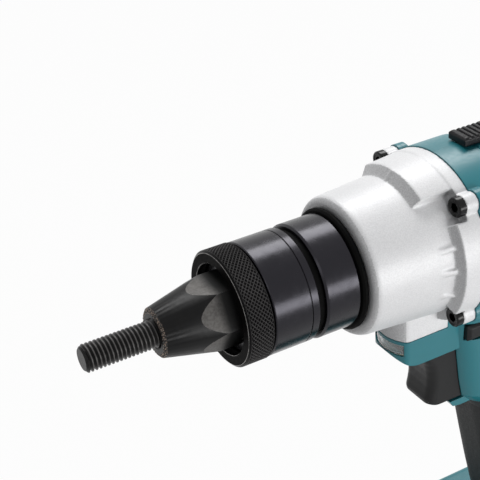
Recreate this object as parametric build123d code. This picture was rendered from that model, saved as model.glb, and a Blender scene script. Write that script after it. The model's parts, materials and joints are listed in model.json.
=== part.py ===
from build123d import *
import os
from math import cos, pi, radians, sin, sqrt, tan

os.makedirs("parts", exist_ok=True)

# Cordless rivet nut tool. Millimetres, X forward along the tool axis, Y to the tool's left, Z up.
# The origin is where the mandrel leaves the flat front face of the anvil.

# Clearances
gap = 0.3        # between pieces that move past each other
run_fit = 0.05   # radial, round piece turning or sliding in a bore
seat_fit = 0.05  # between fixed pieces

# Mandrel and anvil
mandrel_radius = 5.0
mandrel_exposed = 26.6
mandrel_tip_chamfer = 1.1
mandrel_relief = 0.45
mandrel_head_flats = 13.0
mandrel_head_length = 6.0
anvil_face_radius = 8.9
anvil_cone_slope = 0.229
anvil_rim_bevel = 0.8
anvil_head_length = 29.4
anvil_wrench_flats = 24.0
anvil_flat_turn = 27.0
anvil_shank_radius = 12.6
anvil_shank_length = 13.0
chuck_setback = 31.0
stroke_travel = 7.5

# Stroke ring, front sleeve and barrel
ring_setback = 25.5
ring_length = 10.7
ring_radius = 21.45
ring_chamfer = 0.8
part_edge = 0.4
ring_lip = 4.4
holder_wall = 4.0
holder_length = 16.5
adjust_travel = 1.5
sleeve_radius = 21.15
sleeve_length = 17.8
sleeve_groove_setback = 3.0
groove_size = 0.4
snout_wall = 1.15
spigot_radius = 18.0
spigot_length = 12.4
spacer_radius = 19.6
spacer_length = 2.7
barrel_radius = 21.5
barrel_visible = 14.0
barrel_chamfer = 0.7
barrel_tail_radius = 20.0
barrel_tail_length = 17.3
barrel_bore = 16.2
barrel_end_wall = 4.0
seal_radius = 23.0
seal_length = 2.4

# Pull train inside the barrel
key_width = 4.4
key_reach = 2.0
chuck_radius = 9.5
chuck_neck_length = 13.0
chuck_pocket_depth = 6.0
spindle_flange_radius = 12.5
spindle_flange_length = 4.0
spindle_neck_length = 6.2
collar_wall = 3.0
collar_radius = 15.5
spindle_bearing_length = 2.4
drawbar_flange_length = 5.0
screw_radius = 8.0
screw_length = 38.0

# Drive nut and its bearings
thrust_bearing_length = 3.8
nut_flange_radius = 19.5
nut_flange_length = 4.7
nut_radius = 14.0
nut_length = 31.7
nut_bearing_length = 8.0
nut_bearing_setback = 8.0

# Planetary gearbox
gear_module = 0.8
sun_teeth = 12
planet_teeth = 18
planet_count = 3
gear_backlash = 0.3
gear_addendum = 0.62
gear_dedendum = 1.05
gear_flank = 22.0
gear_width = 6.0
sun_two_width = 7.4
planet_pin_radius = 2.0
carrier_plate = 2.5
carrier_radius = 17.6
carrier_hub_radius = 9.0
carrier_hub_length = 3.4
ring_gear_radius = 22.5
ring_gear_overhang = 0.5
gearbox_wall = 2.0
axial_play = 0.5
gearbox_end_room = 1.0
carrier_room = 1.0

# Motor
motor_plate_thickness = 3.4
shaft_radius = 2.5
bearing_radius = 8.0
bearing_length = 5.0
stator_radius = 24.0
stator_length = 32.0
stator_setback = 7.0
stator_slots = 6
stator_bore = 13.2
stator_yoke = 3.6
tooth_width = 6.0
pole_shoe = 2.0
winding_thickness = 2.6
rotor_radius = 12.7
magnet_count = 4
magnet_size = (13.0, 2.4)
magnet_depth = 9.4
fan_radius = 21.0
fan_length = 7.0
fan_hub_radius = 7.0
fan_blades = 11
fan_setback = 4.0
fan_rear_room = 2.0
bearing_seat_depth = 0.6

# Gear housing, the bright casting
housing_length = 43.8
housing_face_radius = 23.6
housing_shoulder = 3.1
housing_mid = 22.8
housing_mid_radius = 28.0
housing_rear_radius = 29.3
housing_bore = 22.6
flange_radius = 33.2
flange_length = 10.0
flange_front_slope = 1.5
flange_side_angle = 35.0
flange_plate = 5.2
lug_radius = 3.9
arch_half_angle = 33.0
arch_front_radius = 31.9
arch_setback = 18.0
arch_front_slope = 3.2
parting_ridge = (0.9, 0.35)
keel_front = 20.6
keel_front_bulge = 4.2
keel_half_width = 10.6
keel_corner = 3.0
keel_floor = 37.4
rib_width = 2.0
rib_angles = (20, 2, -19, 160, 178, 199)
rib_length = 8.5
rib_height = 2.2
screw_spread = 23.0
housing_screw_radius = 2.0
housing_screw_head_radius = 3.8
housing_screw_head_length = 3.0
housing_screw_socket = 3.4
housing_screw_socket_depth = 1.9
housing_screw_length = 9.7
screw_recess_radius = 4.5
screw_recess_length = 5.0
shell_boss_radius = 4.3
shell_lug_length = 6.0
shell_lug_edge = 2.0

# Motor shells with the handle
wall = 2.6
body_radius = 33.6
body_collar = 16.8
body_step = 9.5
body_rear_radius = 31.6
body_length = 97.8
body_tail_round = 9.0
neck_floor = 49.3
neck_lip_rise = 5.4
neck_lip_run = 11.0
neck_overlap = 20.0
handle_front = 121.0
handle_sections = (
    # height below the axis, front and rear behind handle_front, half width
    (26.0, -2.0, 49.0, 14.5),
    (40.0, -1.2, 47.8, 14.7),
    (52.0, 0.0, 47.0, 15.0),
    (66.0, 1.7, 47.0, 15.0),
    (74.0, 3.2, 47.8, 15.0),
    (79.0, 8.5, 48.8, 15.0),
    (84.0, 12.6, 50.0, 15.2),
    (96.0, 15.4, 52.5, 15.6),
    (110.0, 18.4, 56.0, 16.0),
    (126.0, 22.0, 60.5, 16.5),
    (144.0, 26.5, 66.0, 17.2),
    (162.0, 31.5, 72.0, 18.0),
)
handle_corner = 11.0
grip_top = 78.5
grip_bottom = 155.0
grip_thickness = 1.5
nub_setback = 3.9
nub_drop = 0.6
nub_height = 3.2
nub_root = 8.0
nub_lean = 1.6
nub_face_share = 0.8
nub_reach = 3.6
nub_half_width = 9.5
foot_top = 160.0
foot_bottom = 177.0
foot_reach = 17.0
foot_length = 106.0
foot_half_width = 36.0
foot_corner = 9.0
foot_edge = 4.0
body_screw_height = 24.0
body_screw_seat = 14.0
handle_screws = (
    # distance behind handle_front, height below the axis, depth of the head's seat
    (43.5, 44.0, 9.5),
    (32.0, 98.0, 10.5),
    (47.0, 146.0, 11.5),
)
shell_screw_boss = 3.2
shell_screw_cup = 4.5
shell_screw_radius = 1.5
shell_screw_head = 2.9
shell_screw_head_length = 2.4
shell_screw_grip = 8.0
vent_count = 5
vent_width = 2.2
vent_length = 9.0
vent_pitch = 5.4
vent_setback = 20.5
vent_rear_room = 1.0
motor_rib = 2.4
motor_rib_reach = 4.5

# Controls
trigger_half_width = 9.0
trigger_travel = 6.0
trigger_depth = 10.0
trigger_corner = 4.0
trigger_fronts = (
    # drop below the neck, reach of the finger hollow in front of the handle
    (0.4, 15.4),
    (2.6, 12.9),
    (5.4, 11.3),
    (8.8, 10.4),
    (12.6, 10.0),
    (16.6, 10.1),
    (20.0, 10.7),
    (22.4, 11.3),
    (24.2, 11.0),
    (25.2, 9.4),
)
trigger_spring_radius = 3.0
trigger_spring_wire = 0.5
trigger_spring_turns = 5
trigger_spring_steps = 10
trigger_pocket = 9.0
switch_length = 22.0
switch_half_width = 9.0
switch_height = 27.0
lever_travel = 3.0
lever_overhang = 1.4
lever_height = 41.4
lever_size = (9.0, 7.0)
lever_edge = 1.2
lever_setback = 7.6
slider_travel = 5.0
slider_front = 128.0
slider_length = 16.0
slider_half_width = 5.0
slider_height = 3.4
slider_stem = (6.0, 2.2)
slider_stem_depth = 6.0
slider_pad_half_width = 7.0
slider_ridges = 5
slider_ridge = 0.8

# Work light
lens_top = 38.8
lens_height = 5.0
lens_half_width = 9.4
lens_thickness = 2.0
lens_setback = 0.5
light_board_room = 1.2
light_board_size = (15.0, 4.0)
diode_radius = 1.4
diode_height = 1.6
diode_spread = 3.5

# Battery pack
pack_reach = 6.0
pack_length = 114.0
pack_half_width = 37.5
pack_corner = 9.0
pack_bottom = 232.0
pack_parting = 200.0
pack_wall = 2.2
pack_edge = 1.6
rail_half_width = 28.0
rail_neck_half_width = 24.0
rail_head = 3.8
rail_neck = 3.9
rail_front_step = 2.0
slot_end_wall = 4.0
terminal_base = 2.6
terminal_side_margin = 6.0
blade_height = 3.2
roof_thickness = 1.8
cell_radius = 9.1
cell_end_room = 1.2
cell_pitch = 18.6
cell_columns = 5
cell_rows = 2
cell_setback = 19.5
cell_clearance = 0.8
cell_plate = 1.6
cell_plate_half_height = 19.0
board_thickness = 1.6
board_rear_margin = 12.0
board_front_margin = 22.0
board_half_width = 24.0
blade_thickness = 0.8
blade_length = 20.0
blade_count = 4
blade_pitch = 9.0
button_half_width = 14.0
button_height = 10.0
button_depth = 6.0
button_travel = 4.0
button_drop = 3.0

# Stations along the tool axis, from the nose back
ring_front = -ring_setback
sleeve_front = ring_front - ring_length
sleeve_rear = sleeve_front - sleeve_length
barrel_front = sleeve_rear - spacer_length
barrel_shoulder = barrel_front - barrel_visible
barrel_rear = barrel_shoulder - barrel_tail_length
housing_front = barrel_shoulder - seal_length - gap
housing_rear = housing_front - housing_length
chuck_front = -chuck_setback
anvil_shoulder = -anvil_head_length
anvil_rear = anvil_shoulder - anvil_shank_length
holder_front = anvil_shoulder
holder_rear = holder_front - holder_length
holder_radius = anvil_shank_radius + holder_wall
snout_radius = holder_radius + gap + snout_wall
key_radius = collar_radius + key_reach

# Stations of the pull train and the gearbox
head_front = chuck_front - chuck_neck_length
head_rear = head_front - mandrel_head_length
chuck_rear = head_rear - chuck_pocket_depth
spindle_shoulder = chuck_rear - spindle_neck_length
spindle_rear = spindle_shoulder - spindle_flange_length
collar_front = spindle_shoulder + gap + collar_wall
drawbar_front = spindle_rear - gap - spindle_bearing_length
drawbar_shoulder = drawbar_front - drawbar_flange_length
screw_rear = drawbar_shoulder - screw_length
nut_front = barrel_rear - thrust_bearing_length - gap
nut_rear = nut_front - nut_length
carrier_two_front = nut_rear - carrier_hub_length
carrier_two_rear = carrier_two_front - carrier_plate
gears_two_front = carrier_two_rear - axial_play
gears_two_rear = gears_two_front - gear_width
carrier_one_front = gears_two_front - sun_two_width
carrier_one_rear = carrier_one_front - carrier_plate
gears_one_front = carrier_one_rear - axial_play
gears_one_rear = gears_one_front - gear_width
gearbox_rear = gears_one_rear - gearbox_end_room

# Stations of the motor
motor_plate_rear = gearbox_rear - motor_plate_thickness
stator_front = motor_plate_rear - stator_setback
stator_rear = stator_front - stator_length
fan_front = stator_rear - fan_setback
fan_rear = fan_front - fan_length
rear_bearing_front = fan_rear - fan_rear_room
rear_bearing_rear = rear_bearing_front - bearing_length
body_rear = housing_rear - body_length

# Places that follow the handle, the neck and the motor
neck_front = housing_front - keel_front
light_board_front = neck_front - keel_front_bulge - lens_thickness - light_board_room
trigger_top = -neck_floor - trigger_fronts[0][0]
trigger_bottom = -neck_floor - trigger_fronts[-1][0]
trigger_rear = -handle_front - trigger_depth
switch_front = trigger_rear - trigger_travel - gap
foot_front = handle_front - foot_reach
pack_front = foot_front - pack_reach
cell_length = 2 * (pack_half_width - pack_wall - cell_plate - cell_end_room)
shell_screw_places = [
    (-(motor_plate_rear + stator_front) / 2, body_screw_height, body_screw_seat),
    (-(rear_bearing_front + rear_bearing_rear) / 2, body_screw_height, body_screw_seat),
    (-(rear_bearing_front + rear_bearing_rear) / 2, -body_screw_height, body_screw_seat),
] + [(handle_front + setback, -drop, seat) for setback, drop, seat in handle_screws]
beyond = 2 * foot_half_width

# Gear sizes
ring_teeth = sun_teeth + 2 * planet_teeth
sun_pitch = gear_module * sun_teeth / 2
planet_pitch = gear_module * planet_teeth / 2
ring_pitch = gear_module * ring_teeth / 2
planet_orbit = sun_pitch + planet_pitch
gearbox_radius = ring_gear_radius + seat_fit + gearbox_wall


def turned(*corners):
    """Solid of revolution about the tool axis from (x, radius) corners."""
    profile = Polyline(*[(x, 0, r) for x, r in corners], close=True)
    return revolve(make_face(profile), Axis.X, 360)


def tube(rear, front, bore, outer):
    """Tube about the tool axis."""
    return turned((rear, bore), (front, bore), (front, outer), (rear, outer))


def bevelled(rear, front, bore, outer, edge):
    """Tube about the tool axis with an outer chamfer at both ends."""
    return turned(
        (rear, bore), (front, bore), (front, outer - edge), (front - edge, outer),
        (rear + edge, outer), (rear, outer - edge),
    )


def axial(rear, front, y, z, radius):
    """Round bar parallel to the tool axis."""
    return Pos((rear + front) / 2, y, z) * Rot(0, 90, 0) * Cylinder(radius, front - rear)


def crosswise(x, z, radius, right, left):
    """Round bar across the tool."""
    return Pos(x, (right + left) / 2, z) * Rot(90, 0, 0) * Cylinder(radius, left - right)


def block(x_range, y_range, z_range):
    """Box between two limits on each axis."""
    spans = (x_range, y_range, z_range)
    centre = [(low + high) / 2 for low, high in spans]
    size = [high - low for low, high in spans]
    return Pos(*centre) * Box(*size)


def side_form(outline, half_width):
    """Outline in the XZ plane, given its full width across the tool."""
    return Pos(0, half_width, 0) * extrude(outline, 2 * half_width, dir=(0, -1, 0))


def station(x):
    """Plane square to the tool axis, with its own axes along Y and Z."""
    return Plane(origin=(x, 0, 0), x_dir=(0, 1, 0), z_dir=(1, 0, 0))


def around(piece, count, start=0.0):
    """Copies of a piece turned evenly about the tool axis."""
    return [Rot(start + 360 * k / count, 0, 0) * piece for k in range(count)]


def hex_bar(rear, front, flats, turn=0.0):
    """Hexagonal bar about the tool axis; turn sets the angle of one flat's normal."""
    outline = Rot(0, 0, turn + 30) * RegularPolygon(flats / 2, 6, major_radius=False)
    return extrude(station(rear) * outline, front - rear)


def keys(rear, front, inner, outer, width):
    """Two driving keys on opposite sides of a round piece."""
    bar = block((rear, front), (-width / 2, width / 2), (-outer, outer))
    limit = tube(rear, front, inner, outer)
    return bar & limit


def ball_bearing(rear, front, bore, outer):
    """Rolling bearing as one ring, with the step between its races cut into both faces."""
    race = min(0.28 * (outer - bore), 1.6)
    depth = 0.5
    ring = tube(rear, front, bore, outer)
    for low, high in ((rear, rear + depth), (front - depth, front)):
        ring -= tube(low, high, bore + race, outer - race)
    return ring


def mandrel():
    """Pulling mandrel: the working thread, a relieved shank and a hexagonal head."""
    relief = mandrel_radius - mandrel_relief
    tip = mandrel_exposed
    bevel = mandrel_tip_chamfer
    bar = turned(
        (head_rear, 0), (tip, 0), (tip, mandrel_radius - bevel), (tip - bevel, mandrel_radius),
        (0, mandrel_radius), (-mandrel_relief, relief), (head_rear, relief),
    )
    return bar + hex_bar(head_rear, head_front, mandrel_head_flats)


def anvil():
    """Nose piece: a bored cone with six wrench flats and a threaded shank behind them."""
    bore = mandrel_radius + gap
    rear_radius = anvil_face_radius + anvil_cone_slope * anvil_head_length
    bevel_radius = anvil_face_radius + anvil_cone_slope * anvil_rim_bevel
    cone = turned(
        (anvil_shoulder, bore), (0, bore), (0, anvil_face_radius - anvil_rim_bevel),
        (-anvil_rim_bevel, bevel_radius), (anvil_shoulder, rear_radius),
    )
    head = cone & hex_bar(anvil_shoulder, 1, anvil_wrench_flats, anvil_flat_turn)
    shank = tube(anvil_rear, anvil_shoulder, bore, anvil_shank_radius)
    chuck_room = tube(anvil_rear - 1, chuck_front + stroke_travel, 0, chuck_radius + gap)
    return head + shank - chuck_room


def anvil_holder():
    """Keyed ring that carries the anvil and slides as the stroke ring turns."""
    body = bevelled(holder_rear, holder_front, anvil_shank_radius + seat_fit, holder_radius, part_edge)
    reach = holder_radius + key_reach - gap
    return body + keys(holder_rear, holder_rear + 5, holder_radius - 1, reach, key_width)


def stroke_ring():
    """Knurled ring that sets the stroke; its bore turns on the snout of the front sleeve."""
    rear = sleeve_front + gap
    body = bevelled(rear, ring_front, holder_radius + gap, ring_radius, ring_chamfer)
    return body - tube(rear - 1, ring_front - ring_lip, 0, snout_radius + run_fit)


def front_sleeve():
    """Sleeve between the stroke ring and the barrel, with a snout, a key slot and a rear spigot."""
    rear = sleeve_rear - spigot_length
    snout_front = ring_front - ring_lip - gap
    groove = sleeve_rear + sleeve_groove_setback
    body = bevelled(sleeve_rear, sleeve_front, 0, sleeve_radius, part_edge)
    body += tube(sleeve_front, snout_front, 0, snout_radius)
    body += tube(rear, sleeve_rear, 0, spigot_radius)
    body -= tube(groove, groove + groove_size, sleeve_radius - groove_size, sleeve_radius + 1)
    stop = holder_rear - adjust_travel - gap
    body -= tube(stop, snout_front + 1, 0, holder_radius + gap)
    body -= keys(stop, snout_front + 1, 0, holder_radius + key_reach, key_width + 2 * gap)
    body -= tube(rear - 1, stop + 1, 0, chuck_radius + gap)
    return body - tube(rear - 1, collar_front + 2, 0, barrel_bore)


def spacer_ring():
    """Dark ring in the gap between the sleeve and the barrel."""
    return tube(barrel_front, sleeve_rear, spigot_radius + seat_fit, spacer_radius)


def barrel():
    """Pull barrel: threaded on the sleeve's spigot in front and held in the casting behind."""
    floor = barrel_rear + barrel_end_wall
    body = bevelled(barrel_shoulder, barrel_front, 0, barrel_radius, barrel_chamfer)
    body += tube(barrel_rear, barrel_shoulder, 0, barrel_tail_radius)
    spigot_end = sleeve_rear - spigot_length
    body -= tube(spigot_end - seat_fit, barrel_front + 1, 0, spigot_radius + seat_fit)
    body -= tube(floor, barrel_front + 1, 0, barrel_bore)
    body -= keys(floor, spigot_end, barrel_bore - 1, key_radius + gap, key_width + 2 * gap)
    return body - tube(barrel_rear - 1, floor + 1, 0, screw_radius + gap)


def barrel_seal():
    """Rubber ring between the barrel and the casting."""
    rear = barrel_shoulder - seal_length
    return bevelled(rear, barrel_shoulder, barrel_tail_radius + seat_fit, seal_radius, barrel_chamfer)


def mandrel_chuck():
    """Chuck that holds the mandrel by its head."""
    body = tube(chuck_rear, chuck_front, 0, chuck_radius)
    body -= tube(head_front - 1, chuck_front + 1, 0, mandrel_radius + seat_fit)
    body -= hex_bar(chuck_rear - 1, head_front, mandrel_head_flats + 2 * seat_fit)
    return body - tube(chuck_rear - 1, head_rear, 0, chuck_radius - 1.7)


def drive_spindle():
    """Spindle screwed into the chuck, with the flange that the collar pulls on."""
    spigot = chuck_radius - 1.7 - seat_fit
    return turned(
        (spindle_rear, 0), (head_rear - seat_fit, 0), (head_rear - seat_fit, spigot), (chuck_rear, spigot),
        (chuck_rear, chuck_radius), (spindle_shoulder, chuck_radius),
        (spindle_shoulder, spindle_flange_radius), (spindle_rear, spindle_flange_radius),
    )


def pull_collar():
    """Cap on the drawbar that captures the spindle's flange."""
    body = tube(drawbar_front, collar_front, 0, collar_radius)
    body -= tube(drawbar_front - 1, collar_front + 1, 0, chuck_radius + gap)
    return body - tube(drawbar_front - 1, spindle_shoulder + gap, 0, spindle_flange_radius + gap)


def spindle_bearing():
    """Bearing behind the spindle's flange, which lets the mandrel turn."""
    rear = drawbar_front
    return tube(rear, rear + spindle_bearing_length, mandrel_radius, spindle_flange_radius)


def drawbar():
    """Keyed flange with the lead screw that the drive nut pulls."""
    body = tube(drawbar_shoulder, drawbar_front, 0, collar_radius)
    body += keys(drawbar_shoulder, drawbar_front, collar_radius - 2, key_radius, key_width)
    return body + tube(screw_rear, drawbar_shoulder, 0, screw_radius)


def thrust_bearing():
    """Thrust bearing between the barrel's end wall and the drive nut."""
    bore = screw_radius + 1.2
    return tube(barrel_rear - thrust_bearing_length, barrel_rear, bore, nut_flange_radius)


def drive_nut():
    """Nut on the lead screw, with a flange that bears forward."""
    body = tube(nut_rear, nut_front, 0, nut_radius)
    body += tube(nut_front - nut_flange_length, nut_front, 0, nut_flange_radius)
    return body - tube(nut_rear - 1, nut_front + 1, 0, screw_radius + gap)


def nut_bearing():
    """Radial bearing on the rear of the drive nut."""
    rear = nut_rear + nut_bearing_setback
    outer = housing_bore - seat_fit
    return ball_bearing(rear, rear + nut_bearing_length, nut_radius + run_fit, outer)


def tooth_outline(teeth, inner, outer, inner_half, outer_half, turn=0.0):
    """Closed outline of straight-flanked teeth centred on even steps from the turn angle."""
    corners = []
    for k in range(teeth):
        middle = radians(turn) + 2 * pi * k / teeth
        for radius, angle in (
            (inner, middle - inner_half / inner),
            (outer, middle - outer_half / outer),
            (outer, middle + outer_half / outer),
            (inner, middle + inner_half / inner),
        ):
            corners.append((radius * cos(angle), radius * sin(angle)))
    return make_face(Polyline(*corners, close=True))


def spur_outline(teeth, turn=0.0):
    """Outline of an external gear."""
    pitch = gear_module * teeth / 2
    half = (pi * gear_module / 2 - gear_backlash) / 2
    root = pitch - gear_dedendum
    tip = pitch + gear_addendum
    flank = tan(radians(gear_flank))
    return tooth_outline(teeth, root, tip, half + gear_dedendum * flank, half - gear_addendum * flank, turn)


def internal_outline():
    """Outline of the opening in the ring gear."""
    half = (pi * gear_module / 2 + gear_backlash) / 2
    tip = ring_pitch - gear_addendum
    root = ring_pitch + gear_dedendum
    flank = tan(radians(gear_flank))
    space_turn = 180 / ring_teeth
    return tooth_outline(
        ring_teeth, tip, root, half + gear_addendum * flank, half - gear_dedendum * flank, space_turn
    )


def planet_gear(rear, number):
    """Planet gear in its place on the orbit, with a tooth space facing the sun and the ring."""
    angle = 360 * number / planet_count
    gear = extrude(station(rear) * spur_outline(planet_teeth, 180 / planet_teeth), gear_width)
    gear -= axial(rear - 1, rear + gear_width + 1, 0, 0, planet_pin_radius + run_fit)
    return Rot(angle, 0, 0) * Pos(0, planet_orbit, 0) * gear


def planet_pins(rear, front):
    """Pins that carry one stage's planets."""
    pin = axial(rear, front, planet_orbit, 0, planet_pin_radius)
    return Compound(children=[Solid(p.solid().wrapped) for p in around(pin, planet_count)])


def pin_holes(rear, front):
    """Bores in a carrier for its planet pins."""
    return around(axial(rear, front, planet_orbit, 0, planet_pin_radius), planet_count)


def carrier_one():
    """First carrier, with the second sun gear in front of its plate."""
    plate = tube(carrier_one_rear, carrier_one_front, 0, carrier_radius)
    sun = extrude(station(carrier_one_front) * spur_outline(sun_teeth), sun_two_width - axial_play)
    return plate + sun - pin_holes(carrier_one_rear - 1, carrier_one_front + 1)


def carrier_two():
    """Second carrier, with the hub that drives the nut."""
    plate = tube(carrier_two_rear, carrier_two_front, 0, carrier_radius)
    hub = tube(carrier_two_front, nut_rear, 0, carrier_hub_radius)
    return plate + hub - pin_holes(carrier_two_rear - 1, carrier_two_front + 1)


def sun_gear():
    """First sun gear, pressed on the rotor shaft."""
    gear = extrude(station(gears_one_rear) * spur_outline(sun_teeth), gear_width)
    return gear - axial(gears_one_rear - 1, gears_one_front + 1, 0, 0, shaft_radius)


def ring_gear():
    """Ring gear that both stages run in."""
    rear = gears_one_rear - ring_gear_overhang
    front = gears_two_front + ring_gear_overhang
    blank = tube(rear, front, 0, ring_gear_radius)
    return blank - extrude(station(rear - 1) * internal_outline(), front - rear + 2)


def gearbox_case():
    """Cylindrical case around the ring gear, closed in front by the casting."""
    front = housing_rear - seat_fit
    case = tube(gearbox_rear, front, ring_gear_radius + seat_fit, gearbox_radius)
    step_rear = gears_two_front + ring_gear_overhang + seat_fit
    return case + tube(step_rear, front - 1, carrier_radius + carrier_room, gearbox_radius - 1)


def motor_plate():
    """Plate between the gearbox and the motor, with the seat of the front bearing."""
    plate = tube(motor_plate_rear, gearbox_rear, 0, gearbox_radius)
    plate += tube(motor_plate_rear - 2.4, motor_plate_rear, 0, bearing_radius + 2.2)
    seat = gearbox_rear - bearing_seat_depth - bearing_length
    plate -= tube(motor_plate_rear - 3, seat + bearing_length, 0, bearing_radius + seat_fit)
    return plate - tube(motor_plate_rear, gearbox_rear + 1, 0, shaft_radius + 2)


def front_bearing():
    """Front bearing of the rotor shaft."""
    front = gearbox_rear - bearing_seat_depth
    return ball_bearing(front - bearing_length, front, shaft_radius + run_fit, bearing_radius)


def rear_bearing():
    """Rear bearing of the rotor shaft."""
    return ball_bearing(rear_bearing_rear, rear_bearing_front, shaft_radius + run_fit, bearing_radius)


def rotor_shaft():
    """Motor shaft from the rear bearing to the sun gear."""
    return tube(rear_bearing_rear, gears_one_front, 0, shaft_radius)


def magnet_slot(rear, front, clearance):
    """One buried magnet, or its slot when the clearance isn't zero."""
    width, thickness = magnet_size
    half_width = width / 2 + clearance
    half_thickness = thickness / 2 + clearance
    low = magnet_depth - half_thickness
    high = magnet_depth + half_thickness
    return block((rear, front), (-half_width, half_width), (low, high))


def rotor_core():
    """Laminated rotor with a slot for each magnet."""
    rear = stator_rear + 2
    front = stator_front - 2
    core = tube(rear, front, shaft_radius, rotor_radius)
    return core - around(magnet_slot(rear - 1, front + 1, seat_fit), magnet_count)


def rotor_magnets():
    """Flat magnets buried in the rotor."""
    magnet = magnet_slot(stator_rear + 2, stator_front - 2, 0)
    return Compound(children=[Solid(m.solid().wrapped) for m in around(magnet, magnet_count)])


def stator_core():
    """Laminated stator with one tooth and pole shoe between neighbouring slots."""
    yoke = stator_radius - stator_yoke
    core = tube(stator_rear, stator_front, yoke, stator_radius)
    reach = (stator_bore + pole_shoe / 2, yoke + 0.5)
    tooth = block((stator_rear, stator_front), (-tooth_width / 2, tooth_width / 2), reach)
    shoes = tube(stator_rear, stator_front, stator_bore, stator_bore + pole_shoe)
    opening = block((stator_rear - 1, stator_front + 1), (-1.2, 1.2), (0, stator_bore + pole_shoe + 1))
    core += around(tooth, stator_slots)
    core += shoes - around(opening, stator_slots, 180 / stator_slots)
    return core


def stator_windings():
    """One copper coil round each stator tooth."""
    low = stator_bore + pole_shoe + gap
    high = stator_radius - stator_yoke - gap - 0.6
    inner = tooth_width / 2 + seat_fit
    outer = inner + winding_thickness
    overhang = winding_thickness
    coil = block((stator_rear - overhang, stator_front + overhang), (-outer, outer), (low, high))
    coil -= block((stator_rear - seat_fit, stator_front + seat_fit), (-inner, inner), (low - 1, high + 1))
    coils = around(coil, stator_slots)
    return Compound(children=[Solid(c.solid().wrapped) for c in coils])


def fan():
    """Cooling fan: a disc with radial blades on the rotor shaft."""
    disc = 1.4
    wheel = tube(fan_rear, fan_rear + disc, shaft_radius, fan_radius)
    wheel += tube(fan_rear, fan_front, shaft_radius, fan_hub_radius)
    blade = block((fan_rear, fan_front), (-0.6, 0.6), (fan_hub_radius - 0.5, fan_radius - 0.3))
    return wheel + around(blade, fan_blades)


def gear_housing():
    """Cast gear housing: tapered drum, screw flange with lugs, raised arch, keel and ribs."""
    shoulder_front = housing_front
    shoulder_rear = housing_front - housing_shoulder
    shoulder_radius = housing_face_radius + housing_shoulder
    middle = housing_front - housing_mid
    bend = housing_shoulder * (1 - sqrt(0.5))
    drum_edge = [
        Line((housing_rear, 0, 0), (shoulder_front, 0, 0)),
        Line((shoulder_front, 0, 0), (shoulder_front, 0, housing_face_radius)),
        ThreePointArc(
            (shoulder_front, 0, housing_face_radius),
            (shoulder_front - bend, 0, shoulder_radius - bend),
            (shoulder_rear, 0, shoulder_radius),
        ),
        Line((shoulder_rear, 0, shoulder_radius), (middle, 0, housing_mid_radius)),
        Line((middle, 0, housing_mid_radius), (housing_rear, 0, housing_rear_radius)),
        Line((housing_rear, 0, housing_rear_radius), (housing_rear, 0, 0)),
    ]
    casting = revolve(make_face(drum_edge), Axis.X, 360)
    casting += flange()
    casting += arch()
    casting += keel()
    casting += cooling_ribs()
    casting -= screw_recesses()
    casting -= tube(barrel_rear, housing_front + 1, 0, barrel_tail_radius + seat_fit)
    return casting - tube(housing_rear - 1, barrel_rear, 0, housing_bore)


def screw_lugs(rear, front, radius):
    """Round lugs along the four housing screws."""
    return [axial(rear, front, y, z, radius) for y, z in screw_places()]


def flange():
    """Flange that meets the motor shells: a thin plate with lugs, and a thick wall on each side."""
    plate_front = housing_rear + flange_plate
    front = housing_rear + flange_length
    core = housing_bore + 2
    plate = tube(housing_rear, plate_front, core, flange_radius)
    for lug in screw_lugs(housing_rear, plate_front, lug_radius):
        plate += lug
    wall_profile = make_face(Polyline(
        (housing_rear, 0, core), (front + flange_front_slope, 0, core),
        (front + flange_front_slope, 0, housing_mid_radius), (front, 0, flange_radius),
        (housing_rear, 0, flange_radius), close=True,
    ))
    for side in (90, -90):
        turn = side - flange_side_angle
        plate += revolve(Rot(turn, 0, 0) * wall_profile, Axis.X, 2 * flange_side_angle)
    return plate


def arch():
    """Raised arch on top of the casting, with a sloping front and the mould's parting ridge on it."""
    front = housing_rear + arch_setback
    low = housing_mid_radius - 0.2
    foot = front + arch_front_slope
    profile = make_face(Polyline(
        (housing_rear, 0, housing_bore + 2), (foot, 0, housing_bore + 2),
        (foot, 0, low), (front, 0, arch_front_radius),
        (housing_rear, 0, flange_radius), close=True,
    ))
    swept = revolve(Rot(-arch_half_angle, 0, 0) * profile, Axis.X, 2 * arch_half_angle)
    width, height = parting_ridge
    ridge = make_face(Polyline(
        (front - 1, 0, low), (foot + height, 0, low), (front + height, 0, arch_front_radius),
        (front - 1, 0, arch_front_radius), close=True,
    ))
    return swept + side_form(ridge, width / 2)


def plan_form(inset, rear, top, bottom):
    """Neck under the casting, seen from above: flat sides and a bowed front."""
    half = keel_half_width - inset
    apex = neck_front - inset
    corner = apex - keel_front_bulge
    outline = make_face([
        Line((rear, -half, bottom), (corner, -half, bottom)),
        ThreePointArc((corner, -half, bottom), (apex, 0, bottom), (corner, half, bottom)),
        Line((corner, half, bottom), (rear, half, bottom)),
        Line((rear, half, bottom), (rear, -half, bottom)),
    ])
    front_corners = outline.vertices().sort_by(Axis.X)[-2:]
    outline = fillet(front_corners, keel_corner)
    return extrude(outline, top - bottom, dir=(0, 0, 1))


def keel():
    """Block under the casting that sits on the shells' neck."""
    return plan_form(0, housing_rear, -housing_bore - 2, -keel_floor)


def cooling_ribs():
    """Short axial ribs beside the flange."""
    rear = housing_rear + flange_length
    front = rear + rib_length
    low = housing_mid_radius - 1
    rib = make_face(Polyline(
        (rear, 0, low), (front, 0, low), (front, 0, housing_mid_radius),
        (rear, 0, housing_mid_radius + rib_height), close=True,
    ))
    solid_rib = side_form(rib, rib_width / 2)
    return [Rot(angle - 90, 0, 0) * solid_rib for angle in rib_angles]


def screw_places():
    """The four places of the housing screws, across the tool."""
    return [(y, z) for y in (-screw_spread, screw_spread) for z in (-screw_spread, screw_spread)]


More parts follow.
